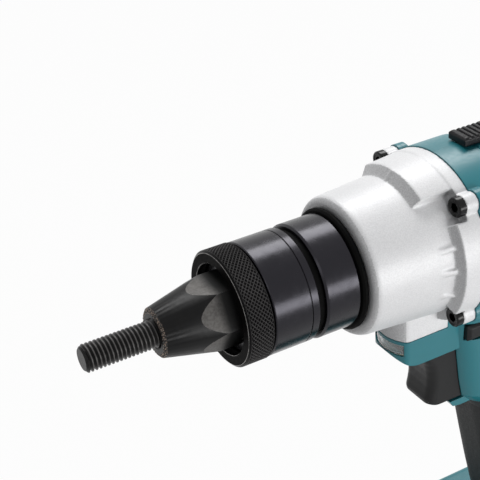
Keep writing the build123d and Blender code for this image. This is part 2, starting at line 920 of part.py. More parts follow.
def screw_recesses():
    """Recesses for the housing screws' heads and their clearance holes."""
    seat = housing_rear + flange_plate
    cuts = []
    for y, z in screw_places():
        cuts.append(axial(seat, seat + screw_recess_length, y, z, screw_recess_radius))
        cuts.append(axial(housing_rear - 1, seat, y, z, housing_screw_radius + seat_fit))
    return cuts


def housing_screws():
    """Four socket screws that hold the casting to the shells."""
    seat = housing_rear + flange_plate
    front = seat + housing_screw_head_length
    socket = RegularPolygon(housing_screw_socket / 2, 6, major_radius=False)
    screws = []
    for y, z in screw_places():
        head = axial(seat, front, y, z, housing_screw_head_radius)
        head -= extrude(station(front) * Pos(y, z, 0) * socket, -housing_screw_socket_depth)
        shank = axial(seat - housing_screw_length, seat, y, z, housing_screw_radius)
        screws.append(Solid((head + shank).solid().wrapped))
    return Compound(children=screws)


def leaning_form(sections, corner, inset=0.0):
    """Loft down through rounded sections, whose fronts and rears are measured behind handle_front."""
    faces = []
    for drop, front, rear, half_width in sections:
        section = RectangleRounded(rear - front - 2 * inset, 2 * (half_width - inset), corner - inset)
        faces.append((Pos(-handle_front - (front + rear) / 2, 0, -drop) * section).face())
    return loft(faces, ruled=True)


def handle_form(inset):
    """Handle that leans back on its way down."""
    return leaning_form(handle_sections, handle_corner, inset)


def motor_form(inset):
    """Motor housing: a round collar, a slimmer rear and a rounded tail; the inner one runs out in front."""
    front = housing_rear + (1.0 if inset else 0.0)
    step_front = housing_rear - body_collar
    step_rear = step_front - body_step
    rear = body_rear + inset
    collar = body_radius - inset
    barrel_radius_rear = body_rear_radius - inset
    bend = body_tail_round - inset
    middle = bend * (1 - sqrt(0.5))
    profile = make_face([
        Polyline(
            (rear, 0, 0), (front, 0, 0), (front, 0, collar), (step_front, 0, collar),
            (step_rear, 0, barrel_radius_rear), (rear + bend, 0, barrel_radius_rear),
        ),
        ThreePointArc(
            (rear + bend, 0, barrel_radius_rear),
            (rear + middle, 0, barrel_radius_rear - middle),
            (rear, 0, barrel_radius_rear - bend),
        ),
        Line((rear, 0, barrel_radius_rear - bend), (rear, 0, 0)),
    ])
    return revolve(profile, Axis.X, 360)


def shell_lugs():
    """Lugs that carry the housing screws' threads, with a bevelled rear end."""
    rear = housing_rear - shell_lug_length
    lugs = []
    for lug in screw_lugs(rear, housing_rear, lug_radius + part_edge):
        lugs.append(chamfer(lug.faces().sort_by(Axis.X)[0].edges(), shell_lug_edge))
    return lugs


def slider_pad():
    """Flat pad on top of the motor housing that the mode slider runs on."""
    rear = -slider_front - slider_length - slider_travel - 2
    half_width = slider_pad_half_width
    return block((rear, housing_rear - body_collar + 1), (-half_width, half_width), (0, body_radius))


def neck_form(inset):
    """Neck under the casting with the lip over the trigger; behind the casting it rises into the body."""
    rear = housing_rear - neck_overlap
    bottom = -neck_floor + inset
    prism = plan_form(inset, rear, -keel_floor - inset, bottom)
    rise = plan_form(inset, rear, -body_radius + wall + 1, -keel_floor - inset)
    prism += rise & block((rear, housing_rear - inset), (-beyond, beyond), (-beyond, 0))
    front = neck_front - inset
    lip_top = bottom + neck_lip_rise
    lip_rear = front - neck_lip_run
    below = make_face([
        ThreePointArc(
            (front, 0, lip_top),
            (front - neck_lip_run * 0.34, 0, bottom + neck_lip_rise * 0.37),
            (lip_rear, 0, bottom),
        ),
        Polyline(
            (lip_rear, 0, bottom), (lip_rear, 0, bottom - 5), (front + 10, 0, bottom - 5),
            (front + 10, 0, lip_top), (front, 0, lip_top),
        ),
    ])
    return prism - side_form(below, beyond)


def foot_form(inset):
    """Foot that the battery slides on."""
    length = foot_length - 2 * inset
    x = -foot_front - foot_length / 2
    outline = RectangleRounded(length, 2 * (foot_half_width - inset), foot_corner - inset)
    depth = foot_bottom - foot_top - inset
    slab = extrude(Pos(x, 0, -foot_bottom) * outline, depth)
    top = slab.faces().sort_by(Axis.Z)[-1]
    return fillet(top.edges(), foot_edge)


def nub():
    """Small lip under the trigger."""
    front = handle_front + nub_setback
    top = trigger_bottom - nub_drop
    outline = make_face(Polyline(
        (-front + nub_reach + nub_lean, 0, top), (-front - nub_root, 0, top),
        (-front - nub_root, 0, top - nub_height), (-front, 0, top - nub_height),
        (-front + nub_reach, 0, top - nub_face_share * nub_height), close=True,
    ))
    return side_form(outline, nub_half_width)


def grip_zone():
    """Part of the handle that the rubber covers."""
    return block((body_rear, 0), (-beyond, beyond), (-grip_bottom, -grip_top))


def slot_rear():
    """Closed end of the rail slot."""
    return -foot_front - foot_length + slot_end_wall


def rail_rear():
    """Rear end of the battery's rails, in front of the terminal block."""
    return slot_rear() + terminal_base + gap


def rail_slot():
    """T-shaped slot in the foot, open in front, that the battery's rails slide in."""
    front = -foot_front + 1
    head_top = -foot_bottom + rail_neck + rail_head + gap
    neck_top = -foot_bottom + rail_neck - gap
    head = block((slot_rear(), front), (-rail_half_width - gap, rail_half_width + gap), (neck_top, head_top))
    half_neck = rail_neck_half_width + gap
    return head + block((slot_rear(), front), (-half_neck, half_neck), (-foot_bottom - 1, neck_top + 0.1))


def slot_roof_top():
    """Height of the rail slot's roof inside the foot."""
    return -foot_bottom + rail_neck + rail_head + gap + roof_thickness


def slot_roof():
    """Roof and sides of the rail slot inside the foot."""
    half = rail_half_width + gap + roof_thickness
    x_range = (-foot_front - foot_length + 1, -foot_front - 1)
    return block(x_range, (-half, half), (-foot_bottom, slot_roof_top()))


def motor_ribs():
    """Rings inside the shells that hold the stator and the gearbox."""
    gearbox_middle = (gearbox_rear + housing_rear) / 2
    reach = body_radius + motor_rib_reach
    places = (
        (stator_front - 4, stator_radius), (stator_rear + 4, stator_radius),
        (gearbox_middle, gearbox_radius),
    )
    half = motor_rib / 2
    return [tube(x - half, x + half, radius + seat_fit, reach) for x, radius in places]


def bearing_seat():
    """Ring inside the tail that holds the rear bearing."""
    rear = body_rear + wall / 2
    seat = tube(rear, rear_bearing_front, 0, bearing_radius + 3)
    return seat - tube(rear_bearing_rear, rear_bearing_front + 1, 0, bearing_radius + seat_fit)


def shell_bosses():
    """Pillars for the shell screws and the corner bosses for the housing screws."""
    pillars = [crosswise(-x, z, shell_screw_boss, -beyond, beyond) for x, z, _ in shell_screw_places]
    pillars += [crosswise(-x, z, shell_screw_cup, -beyond, 2 - seat) for x, z, seat in shell_screw_places]
    return pillars + screw_lugs(housing_rear - shell_lug_length, housing_rear, shell_boss_radius)


def shell_screw_holes():
    """Holes and head recesses of the shell screws, entered from the right side."""
    cuts = []
    for x, z, seat in shell_screw_places:
        cuts.append(crosswise(-x, z, shell_screw_radius + seat_fit, -seat - 1, shell_screw_grip + 1))
        cuts.append(crosswise(-x, z, shell_screw_head + gap, -beyond, -seat))
    end = housing_rear + flange_plate - housing_screw_length - gap
    return cuts + screw_lugs(end, housing_rear + 1, housing_screw_radius + seat_fit)


def vents():
    """Slots for the cooling air, in two rows on both sides."""
    cuts = []
    for k in range(vent_count):
        z = (k - (vent_count - 1) / 2) * vent_pitch
        z_range = (z - vent_width / 2, z + vent_width / 2)
        for x in (fan_rear + vent_rear_room, fan_front + vent_setback):
            cuts.append(block((x, x + vent_length), (-beyond, beyond), z_range))
    return cuts


def control_cuts():
    """Openings for the trigger, the direction lever, the mode slider and the light."""
    half = trigger_half_width + gap
    bay_front = -handle_front + trigger_fronts[0][1] + gap
    bay_rear = trigger_rear - trigger_travel - 2
    bay = block((bay_rear, bay_front), (-half, half), (trigger_bottom - gap, -neck_floor - seat_fit))
    passage = lever_bar(gap, beyond)
    length, half_stem = slider_stem
    middle = -slider_front - slider_length / 2
    slot = block(
        (middle - length / 2 - slider_travel - gap, middle + length / 2 + gap),
        (-half_stem - gap, half_stem + gap), (body_radius - 8, body_radius + 8),
    )
    return [bay, passage, slot, lens_room()]


def lens_room():
    """Window in the neck that holds the light's lens and board."""
    x_range = (light_board_front - board_thickness - gap, neck_front + 5)
    return block(x_range, (-lens_half_width, lens_half_width), (-lens_top - lens_height, -lens_top))


def shells():
    """Both moulded shells as one hollow form, before they are parted."""
    outer = motor_form(0) + handle_form(0) + neck_form(0) + foot_form(0) + nub() + slider_pad()
    for lug in shell_lugs():
        outer += lug
    rubber = (handle_form(-1) - handle_form(grip_thickness + seat_fit)) & grip_zone()
    core = outer - rubber
    inner = motor_form(wall) + handle_form(wall + grip_thickness) + neck_form(wall) + foot_form(wall)
    inner -= slot_roof()
    inner -= bearing_seat()
    for solid in motor_ribs() + shell_bosses():
        inner -= solid
    form = core - inner
    form -= rail_slot()
    for cut in shell_screw_holes() + vents() + control_cuts():
        form -= cut
    form -= axial(gearbox_rear, housing_rear + 1, 0, 0, gearbox_radius + seat_fit)
    return form


def half(form, side):
    """Left half for side 1, right half for side -1."""
    y_range = (0, beyond) if side > 0 else (-beyond, 0)
    return form & block((2 * body_rear, 0), y_range, (-2 * pack_bottom, beyond))


def grip():
    """Rubber sleeve moulded over the handle."""
    return (handle_form(0) - handle_form(grip_thickness)) & grip_zone()


def shell_screws():
    """Screws that hold the right shell to the left one."""
    screws = []
    for x, z, seat in shell_screw_places:
        head = crosswise(-x, z, shell_screw_head, -seat - shell_screw_head_length, -seat)
        shank = crosswise(-x, z, shell_screw_radius, -seat, shell_screw_grip)
        screws.append(Solid((head + shank).solid().wrapped))
    return Compound(children=screws)


def lens():
    """Clear window over the work light, set a little behind the bowed front of the neck."""
    skin = plan_form(lens_setback, housing_rear, -lens_top - seat_fit, -lens_top - lens_height + seat_fit)
    skin -= plan_form(lens_thickness, housing_rear - 1, -lens_top + 1, -lens_top - lens_height - 1)
    half_width = lens_half_width - seat_fit
    rear = neck_front - keel_front_bulge - lens_thickness
    return skin & block((rear, neck_front), (-half_width, half_width), (-neck_floor, 0))


def led_board():
    """Small board with two light-emitting diodes behind the lens."""
    front = light_board_front
    middle = -lens_top - lens_height / 2
    width, height = light_board_size
    z_range = (middle - height / 2, middle + height / 2)
    board = block((front - board_thickness, front), (-width / 2, width / 2), z_range)
    for y in (-diode_spread, diode_spread):
        board += axial(front, front + diode_height, y, middle, diode_radius)
    return board


def trigger():
    """Trigger with a finger hollow in front and a pocket for its spring."""
    sections = [
        (neck_floor + drop, -reach, trigger_depth + trigger_corner, trigger_half_width)
        for drop, reach in trigger_fronts
    ]
    body = leaning_form(sections, trigger_corner)
    body -= block((trigger_rear - beyond, trigger_rear), (-beyond, beyond), (-2 * beyond, 0))
    pocket = trigger_spring_radius + trigger_spring_wire + gap
    middle = (trigger_top + trigger_bottom) / 2
    return body - axial(trigger_rear - 1, trigger_rear + trigger_pocket, 0, middle, pocket)


def trigger_spring():
    """Coil spring between the trigger and the switch, as short straight lengths round each turn."""
    front = trigger_rear + trigger_pocket - trigger_spring_wire
    rear = switch_front + trigger_spring_wire
    middle = (trigger_top + trigger_bottom) / 2
    count = trigger_spring_turns * trigger_spring_steps
    corners = []
    for k in range(count + 1):
        angle = 2 * pi * k / trigger_spring_steps
        x = rear + (front - rear) * k / count
        corners.append((x, trigger_spring_radius * cos(angle), middle + trigger_spring_radius * sin(angle)))
    path = Polyline(*corners)
    wire = 2 * trigger_spring_wire
    section = Plane(origin=path @ 0, z_dir=path % 0) * Rectangle(wire, wire)
    return sweep(section, path=path, transition=Transition.RIGHT)


def switch_body():
    """Switch behind the trigger."""
    x_range = (switch_front - switch_length, switch_front)
    z_range = (-neck_floor - switch_height, -neck_floor)
    box = block(x_range, (-switch_half_width, switch_half_width), z_range)
    return chamfer(box.edges().filter_by(Axis.Y), 1.0)


def lever_bar(clearance, reach):
    """Bar across the tool above the trigger, grown by a clearance all round."""
    half_length = lever_size[0] / 2 + clearance
    half_height = lever_size[1] / 2 + clearance
    middle = -handle_front - lever_setback
    return block(
        (middle - half_length, middle + half_length), (-reach, reach),
        (-lever_height - half_height, -lever_height + half_height),
    )


def direction_lever():
    """Forward and reverse lever that slides across the tool above the trigger."""
    bar = lever_bar(0, keel_half_width + lever_travel + lever_overhang)
    ends = bar.faces().sort_by(Axis.Y)
    return chamfer(ends[0].edges() + ends[-1].edges(), lever_edge)


def mode_slider():
    """Sliding button on top, with finger ridges and a stem through the shells."""
    rear = -slider_front - slider_length
    base = body_radius + gap
    top = base + slider_height
    cap = block((rear, -slider_front), (-slider_half_width, slider_half_width), (base, top))
    cap = chamfer(cap.faces().sort_by(Axis.Z)[-1].edges(), slider_ridge)
    pitch = slider_length / (slider_ridges + 2)
    for k in range(slider_ridges):
        x = rear + (k + 1.5) * pitch
        ridge_top = top - slider_ridge
        y_range = (-slider_half_width - 1, slider_half_width + 1)
        cap -= block((x, x + pitch / 2), y_range, (ridge_top, top + 1))
    length, half_stem = slider_stem
    middle = (rear - slider_front) / 2
    x_range = (middle - length / 2, middle + length / 2)
    return cap + block(x_range, (-half_stem, half_stem), (base - slider_stem_depth, base + 1))


def control_board():
    """Motor control board in the foot."""
    low = slot_roof_top() + seat_fit
    x_range = (-foot_front - foot_length + board_rear_margin, -foot_front - board_front_margin)
    return block(x_range, (-board_half_width, board_half_width), (low, low + board_thickness))


def blade_places():
    """Places of the contact blades across the tool."""
    return [(k - (blade_count - 1) / 2) * blade_pitch for k in range(blade_count)]


def terminal_block():
    """Contact blades that enter the battery as it slides on."""
    roof = -foot_bottom + rail_neck + rail_head + gap
    rear = slot_rear()
    half_base = rail_half_width - terminal_side_margin
    base = block((rear, rear + terminal_base), (-half_base, half_base), (roof - rail_head, roof))
    half_blade = blade_thickness / 2
    for y in blade_places():
        y_range = (y - half_blade, y + half_blade)
        base += block((rear, rear + blade_length), y_range, (roof - blade_height, roof))
    return base


def pack_outline(inset=0.0):
    """Plan of the battery case."""
    outline = RectangleRounded(pack_length - 2 * inset, 2 * (pack_half_width - inset), pack_corner - inset)
    return Pos(-pack_front - pack_length / 2, 0, 0) * outline


def battery_lower_case():
    """Tray of the battery pack."""
    height = pack_bottom - pack_parting
    case = extrude(Pos(0, 0, -pack_bottom) * pack_outline(), height)
    case = chamfer(case.faces().sort_by(Axis.Z)[0].edges(), pack_edge)
    return case - extrude(Pos(0, 0, -pack_bottom + pack_wall) * pack_outline(pack_wall), height)


def battery_upper_case():
    """Lid of the battery pack with the rails and the contact slots."""
    top = -foot_bottom - gap
    case = extrude(Pos(0, 0, -pack_parting) * pack_outline(), top + pack_parting)
    case = chamfer(case.faces().sort_by(Axis.Z)[-1].edges(), pack_edge)
    room_height = top - pack_wall + pack_parting + 1
    case -= extrude(Pos(0, 0, -pack_parting - 1) * pack_outline(pack_wall), room_height)
    rear = rail_rear()
    front = -foot_front - rail_front_step
    neck_top = -foot_bottom + rail_neck
    case += block((rear, front), (-rail_neck_half_width, rail_neck_half_width), (top, neck_top))
    head_top = neck_top + rail_head
    case += block((rear, front), (-rail_half_width, rail_half_width), (neck_top, head_top))
    half_slot = blade_thickness / 2 + gap
    slot_floor = head_top - blade_height - 1
    for y in blade_places():
        y_range = (y - half_slot, y + half_slot)
        case -= block((rear - 1, rear + blade_length + 1), y_range, (slot_floor, head_top + 1))
    room_rear = -pack_front - button_depth - gap
    room_half = button_half_width + gap
    room_low = top - button_drop - button_height - button_travel - gap
    room = block((room_rear, -pack_front + 1), (-room_half, room_half), (room_low, top - button_drop + gap))
    backing_half = room_half + pack_edge
    backing = block(
        (room_rear - pack_edge, -pack_front - 1), (-backing_half, backing_half),
        (room_low - pack_edge, top - 1),
    )
    return case + backing - room


def battery_cells():
    """Round cells laid across the pack in two rows."""
    cells = []
    for row in range(cell_rows):
        z = -pack_bottom + pack_wall + cell_radius + cell_clearance + row * cell_pitch
        for column in range(cell_columns):
            x = -pack_front - cell_setback - column * cell_pitch
            cell = crosswise(x, z, cell_radius, -cell_length / 2, cell_length / 2)
            cells.append(Solid(cell.solid().wrapped))
    return Compound(children=cells)


def cell_holders():
    """Two plates that hold the cells by their ends."""
    low = -pack_bottom + pack_wall
    high = low + 2 * cell_plate_half_height
    first = -pack_front - cell_setback
    last = first - (cell_columns - 1) * cell_pitch
    reach = cell_radius + 1.2
    inner = cell_length / 2 + seat_fit
    outer = inner + cell_plate
    plates = []
    for y_range in ((-outer, -inner), (inner, outer)):
        plate = block((last - reach, first + reach), y_range, (low, high))
        plates.append(Solid(plate.wrapped))
    return Compound(children=plates)


def battery_board():
    """Protection board over the cells."""
    low = -pack_bottom + pack_wall + 2 * cell_plate_half_height
    first = -pack_front - cell_setback
    return block((first - 70, first - 4), (-26, 26), (low, low + board_thickness))


def battery_button():
    """Release button in the front of the pack."""
    top = -foot_bottom - gap - button_drop
    button = block(
        (-pack_front - button_depth, -pack_front - 0.4), (-button_half_width, button_half_width),
        (top - button_height, top),
    )
    grooves = []
    for k in range(3):
        z = top - 2.6 - 2.2 * k
        y_range = (-button_half_width + 2, button_half_width - 2)
        grooves.append(block((-pack_front - 1.2, -pack_front), y_range, (z - 0.5, z + 0.5)))
    for groove in grooves:
        button -= groove
    return button


def pieces():
    """Every node with its solid or group of solids."""
    made = {
        "mandrel": mandrel(),
        "anvil": anvil(),
        "anvil_holder": anvil_holder(),
        "stroke_ring": stroke_ring(),
        "front_sleeve": front_sleeve(),
        "spacer_ring": spacer_ring(),
        "barrel": barrel(),
        "barrel_seal": barrel_seal(),
        "gear_housing": gear_housing(),
        "housing_screws": housing_screws(),
        "mandrel_chuck": mandrel_chuck(),
        "drive_spindle": drive_spindle(),
        "pull_collar": pull_collar(),
        "spindle_bearing": spindle_bearing(),
        "drawbar": drawbar(),
        "thrust_bearing": thrust_bearing(),
        "drive_nut": drive_nut(),
        "nut_bearing": nut_bearing(),
        "carrier_one": carrier_one(),
        "carrier_two": carrier_two(),
        "planet_pins_one": planet_pins(gears_one_rear, carrier_one_front),
        "planet_pins_two": planet_pins(gears_two_rear, carrier_two_front),
        "sun_gear": sun_gear(),
        "ring_gear": ring_gear(),
        "gearbox_case": gearbox_case(),
        "motor_plate": motor_plate(),
        "front_bearing": front_bearing(),
        "rear_bearing": rear_bearing(),
        "rotor_shaft": rotor_shaft(),
        "rotor_core": rotor_core(),
        "rotor_magnets": rotor_magnets(),
        "stator_core": stator_core(),
        "stator_windings": stator_windings(),
        "cooling_fan": fan(),
        "shell_screws": shell_screws(),
        "light_lens": lens(),
        "light_board": led_board(),
        "trigger": trigger(),
        "trigger_spring": trigger_spring(),
        "switch_body": switch_body(),
        "direction_lever": direction_lever(),
        "mode_slider": mode_slider(),
        "control_board": control_board(),
        "terminal_block": terminal_block(),
        "battery_lower_case": battery_lower_case(),
        "battery_upper_case": battery_upper_case(),
        "battery_cells": battery_cells(),
        "cell_holders": cell_holders(),
        "battery_board": battery_board(),
        "battery_button": battery_button(),
    }
    for number in range(planet_count):
        letter = "abc"[number]
        made["planet_one_" + letter] = planet_gear(gears_one_rear, number)
        made["planet_two_" + letter] = planet_gear(gears_two_rear, number)
    body = shells()
    rubber = grip()
    for name, side in (("left", 1), ("right", -1)):
        made[name + "_shell"] = half(body, side)
        made[name + "_grip"] = half(rubber, side)
    return made


for name, shape in pieces().items():
    export_step(shape, f"parts/{name}.step")
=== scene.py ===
import bpy
import bmesh
import json
from math import atan2, cos, hypot, pi, radians, sin
from mathutils import Matrix, Vector


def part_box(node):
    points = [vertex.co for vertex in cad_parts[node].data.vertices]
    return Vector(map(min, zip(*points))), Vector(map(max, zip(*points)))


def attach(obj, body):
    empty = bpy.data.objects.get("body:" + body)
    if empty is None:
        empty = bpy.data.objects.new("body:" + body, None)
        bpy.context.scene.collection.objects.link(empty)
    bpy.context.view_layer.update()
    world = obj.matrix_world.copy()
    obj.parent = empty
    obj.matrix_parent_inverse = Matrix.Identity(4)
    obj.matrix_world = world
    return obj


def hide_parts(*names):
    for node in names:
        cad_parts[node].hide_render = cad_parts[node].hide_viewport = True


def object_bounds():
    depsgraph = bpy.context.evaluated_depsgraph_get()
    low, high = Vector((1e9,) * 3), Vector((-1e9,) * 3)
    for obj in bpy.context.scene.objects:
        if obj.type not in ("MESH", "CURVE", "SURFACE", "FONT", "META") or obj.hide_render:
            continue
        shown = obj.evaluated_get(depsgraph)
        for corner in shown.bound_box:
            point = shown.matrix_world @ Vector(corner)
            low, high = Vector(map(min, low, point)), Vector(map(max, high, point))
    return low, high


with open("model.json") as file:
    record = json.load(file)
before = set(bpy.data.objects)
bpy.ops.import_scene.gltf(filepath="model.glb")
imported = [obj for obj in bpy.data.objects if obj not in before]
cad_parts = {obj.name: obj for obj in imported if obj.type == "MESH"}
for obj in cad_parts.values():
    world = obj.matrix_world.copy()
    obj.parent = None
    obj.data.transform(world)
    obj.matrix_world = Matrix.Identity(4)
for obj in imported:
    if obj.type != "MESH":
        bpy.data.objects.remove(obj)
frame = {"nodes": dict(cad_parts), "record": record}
cad_box = [list(corner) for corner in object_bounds()]

# One millimetre, in the frame's metres
MM = 0.001

# Camera, as the picture was taken: place in millimetres, turns in degrees
CAMERA_PLACE = (137.79, 332.78, 239.28)
CAMERA_AZIMUTH = 152.46
CAMERA_ELEVATION = 29.79
CAMERA_ROLL = -4.36
CAMERA_LENS = 95.19
CAMERA_SENSOR = 36
CAMERA_NEAR = 0.01

# Light
SKY_COLOUR = (0.95, 0.97, 1.0, 1.0)
SKY_STRENGTH = 0.15
FLOOR_GLOW = 0.97
LAMPS = (
    # name, place, target, size and power
    ("top_softbox", (-0.36, -0.42, 0.78), (-0.36, 0, 0), (0.9, 0.4), 9.8),
    ("side_strip", (-0.34, 0.80, -0.05), (-0.34, 0, 0), (0.9, 0.26), 6.2),
    ("front_softbox", (0.85, 0.25, 0.35), (-0.08, 0, 0), (0.3, 0.3), 0.5),
)

# Merging of corners that fall together, in millimetres as all that follows
MERGE_MADE = 0.004
MERGE_CARRIED = 0.001
MERGE_THIN = 0.001

# Mandrel
MANDREL_TIP = 26.6
TIP_CHAMFER = 1.1
THREAD_RADIUS = 5.0
THREAD_ROOT = 4.12
THREAD_PITCH = 1.5
THREAD_TURNS = 24
THREAD_STEPS = 64
THREAD_REAR = -6.0
THREAD_HALF_CREST = 0.09
THREAD_MERGE = 0.01
BAR_MARGIN = 0.02
BAR_STEPS = 64
NECK_REAR = 1.2
NECK_FRONT = 0.6
NECK_DROP = 0.2
NECK_STEPS = 48
SHANK_SETBACK = 0.4
# Radii, in millimetres, over which the thread's crests turn lighter: wear and painted highlight
CREST_WEAR_AND_HIGHLIGHT = (4.7, 4.97)

# Anvil
ANVIL_BORE = 5.3
ANVIL_SLOPE = 0.229
ANVIL_FACE = 8.9
ANVIL_SHOULDER = -29.4
ANVIL_REAR = -42.4
ANVIL_SHANK = 12.6
ANVIL_ROOM = 9.8
ANVIL_ROOM_FRONT = -23.5
FLAT_DISTANCE = 12.0
FLAT_TURN = 27.0
RIM_BEVEL = 0.8
TEETH = 36
POINTS_PER_TOOTH = 4
TOOTH_DEPTH = 0.45
TOOTH_INNER = 7.8
TOOTH_SLACK = 0.01
BORE_CHAMFER = 0.5
FACE_MIDDLE = 7.2
RIM_INNER = 7.0
RIM_REAR = -1.4
SHANK_CHAMFER = 0.6
WORN_BEVEL = 0.11
WORN_ANGLE = 9
FLAT_LEVEL = 0.9998
FLAT_SLACK = 0.05
SHOULDER_SLACK = 0.1
# Stretch along the axis, in metres, over which the ground flats darken into painted shade from the stroke
# ring
FLAT_PAINTED_SHADE = (-0.0232, -0.0196)

# Stroke ring
RING_FRONT = -25.5
RING_REAR = -35.9
RING_RADIUS = 21.45
RING_CHAMFER = 0.8
RING_BORE = 16.9
RING_REAR_BORE = 18.1
RING_LIP = 4.4
KNURL_DEPTH = 0.50
KNURL_ROWS = 6
KNURL_COUNT = 76
# Radii, in millimetres, over which the knurl's crests turn lighter: wear and painted highlight
KNURL_WEAR_AND_HIGHLIGHT = (21.22, 21.42)
BORE_BREAK = 0.18
RIM_BREAK = 0.12
RIM_DROP = 0.2
BREAK_REACH = 0.17
FACE_SLACK = 0.05
FACE_FORWARD = 0.95
BAND_SLACK = 0.1
BAND_TILT = 0.1
CORNER_SLACK = 0.02
ROW_SLACK = 0.05

# Housing casting: size of its skin's cells, rounds of smoothing, and how far forward a face looks to take
# the painted shade
CASTING_SKIN = 0.5
CASTING_PASSES = 1
CASTING_FORWARD = 0.6

# Housing screws
SCREW_SEAT = -112.0
SCREW_SPREAD = 23.0
SCREW_HEAD_RADIUS = 3.8
SCREW_HEAD = 3.0
SCREW_SHANK_RADIUS = 2.0
SCREW_SHANK = 9.7
SCREW_SOCKET = 3.4
SCREW_SOCKET_DEPTH = 1.9
SCREW_TURN = 17
SCREW_NEXT_TURN = 41
SOCKET_PROUD = 2
HEAD_ROUND = 0.22
HEAD_ROUND_STEPS = 4
HEAD_CHAMFER = 0.25
HEAD_DISH = (0.66, 0.74)
SCREW_CORNERS = ((1, 1), (1, -1), (-1, 1), (-1, -1))
SCREW_STEPS = 48

# Work light
BOARD_THICKNESS = 1.6
BOARD_BEVEL = 0.15
DIODE_LENGTH = 1.6
DIODE_RADIUS = 1.4
DIODE_ROUND = 0.9
DIODE_CORE = 0.5
DIODE_ROUND_STEPS = 5
DIODE_SPREAD = 3.5
DIODE_STEPS = 32
LENS_SKIN = 0.16
LENS_PASSES = 2

# Pieces that the hand touches
CONTROLS = (
    # node, name, size of the skin's cells, rounds of smoothing and finish
    ("trigger", "soft_trigger", 0.32, 7, "control_black"),
    ("mode_slider", "ridged_slider", 0.22, 3, "slider_black"),
    ("direction_lever", "soft_lever", 0.3, 4, "control_black"),
)

# Floor
FLOOR_SIZE = 30
FLOOR_DROP = 0.2
FLOOR_COLOUR = (0.30, 0.30, 0.30, 1)
FLOOR_ROUGHNESS = 0.8


# Selecting and settling

def free_selection():
    if bpy.context.object and bpy.context.object.mode != "OBJECT":
        bpy.ops.object.mode_set(mode="OBJECT")
    bpy.ops.object.select_all(action="DESELECT")


def only(piece):
    free_selection()
    piece.select_set(True)
    bpy.context.view_layer.objects.active = piece
    return piece


def named(name):
    piece = bpy.context.object
    piece.name = name
    piece.data.name = name
    return piece


def hold_place(piece):
    only(piece)
    bpy.ops.object.transform_apply(location=True, rotation=True, scale=True)
    return piece


def edit(piece, mode="FACE"):
    only(piece)
    bpy.ops.object.mode_set(mode="EDIT")
    bpy.ops.mesh.select_mode(type=mode)
    bpy.ops.mesh.select_all(action="DESELECT")


def done():
    bpy.ops.object.mode_set(mode="OBJECT")


def take_all():
    """Selects the whole piece that is being edited."""
    bpy.ops.mesh.select_all(action="SELECT")


def pick_faces(piece, wanted):
    """Selects the faces whose centre, in millimetres, and direction are wanted."""
    mesh = bmesh.from_edit_mesh(piece.data)
    for face in mesh.faces:
        face.select_set(False)
    for face in mesh.faces:
        if wanted(face.calc_center_median() / MM, face.normal):
            face.select_set(True)
    bmesh.update_edit_mesh(piece.data)


def paint(piece, index, wanted):
    """Gives one of the piece's finishes to the faces that are wanted, while the piece is edited."""
    piece.active_material_index = index
    pick_faces(piece, wanted)
    bpy.ops.object.material_slot_assign()


def pick_edges(piece, wanted):
    """Selects the edges whose two ends, in millimetres, are wanted."""
    mesh = bmesh.from_edit_mesh(piece.data)
    for edge in mesh.edges:
        edge.select_set(False)
    for edge in mesh.edges:
        a, b = (v.co / MM for v in edge.verts)
        if wanted(a, b):
            edge.select_set(True)
    bmesh.update_edit_mesh(piece.data)


def apply_modifier(piece, kind, **settings):
    only(piece)
    bpy.ops.object.modifier_add(type=kind)
    modifier = piece.modifiers[-1]
    for key, value in settings.items():
        setattr(modifier, key, value)
    bpy.ops.object.modifier_apply(modifier=modifier.name)


def soften(piece, width, angle=35, **settings):
    """Cuts one small chamfer along every edge that is sharper than the angle."""
    apply_modifier(
        piece, "BEVEL", width=width * MM, segments=1, limit_method="ANGLE", angle_limit=radians(angle),
        **settings,
    )


def smooth(piece, angle):
    only(piece)
    bpy.ops.object.shade_smooth_by_angle(angle=radians(angle))


def joined(name, pieces):
    free_selection()
    for piece in pieces:
        piece.select_set(True)
    bpy.context.view_layer.objects.active = pieces[0]
    bpy.ops.object.join()
    return named(name)


def seat(piece, body, material, replaced=()):
    """Last step of every new piece: its body, its finish and the nodes that it stands for."""
    if material is not None:
        piece.data.materials.clear()
        piece.data.materials.append(material)
    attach(piece, body)
    if replaced:
        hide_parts(*replaced)
    return piece


# Starting shapes

def clean(piece):
    """Merges doubles, drops what is loose and turns every face outwards."""
    edit(piece, "VERT")
    take_all()
    bpy.ops.mesh.remove_doubles(threshold=MERGE_MADE * MM)
    bpy.ops.mesh.dissolve_degenerate(threshold=MERGE_THIN * MM)
    bpy.ops.mesh.delete_loose(use_verts=True, use_edges=True, use_faces=False)
    take_all()
    bpy.ops.mesh.normals_make_consistent(inside=False)
    done()
    return piece


def outline(name, corners, closed=True):
    """Ring or chain of edges through (x, radius) corners in millimetres, above the tool's axis."""
    free_selection()
    bpy.ops.mesh.primitive_circle_add(vertices=len(corners), radius=MM)
    piece = named(name)
    edit(piece, "VERT")
    mesh = bmesh.from_edit_mesh(piece.data)
    mesh.verts.ensure_lookup_table()
    for corner, (x, radius) in zip(mesh.verts, corners):
        corner.co = Vector((x, 0, radius)) * MM
    if not closed:
        ends = {mesh.verts[0], mesh.verts[len(corners) - 1]}
        closing = [edge for edge in mesh.edges if set(edge.verts) == ends]
        mesh.edges.remove(closing[0])
    bmesh.update_edit_mesh(piece.data)
    return piece


def quarter(x, radius, bend, steps):
    """Corners of a quarter round, from the front at (x + bend, radius) out to (x, radius + bend)."""
    turns = [pi / (2 * steps) * k for k in range(steps, -1, -1)]
    return [(x + bend * sin(turn), radius + bend * cos(turn)) for turn in turns]


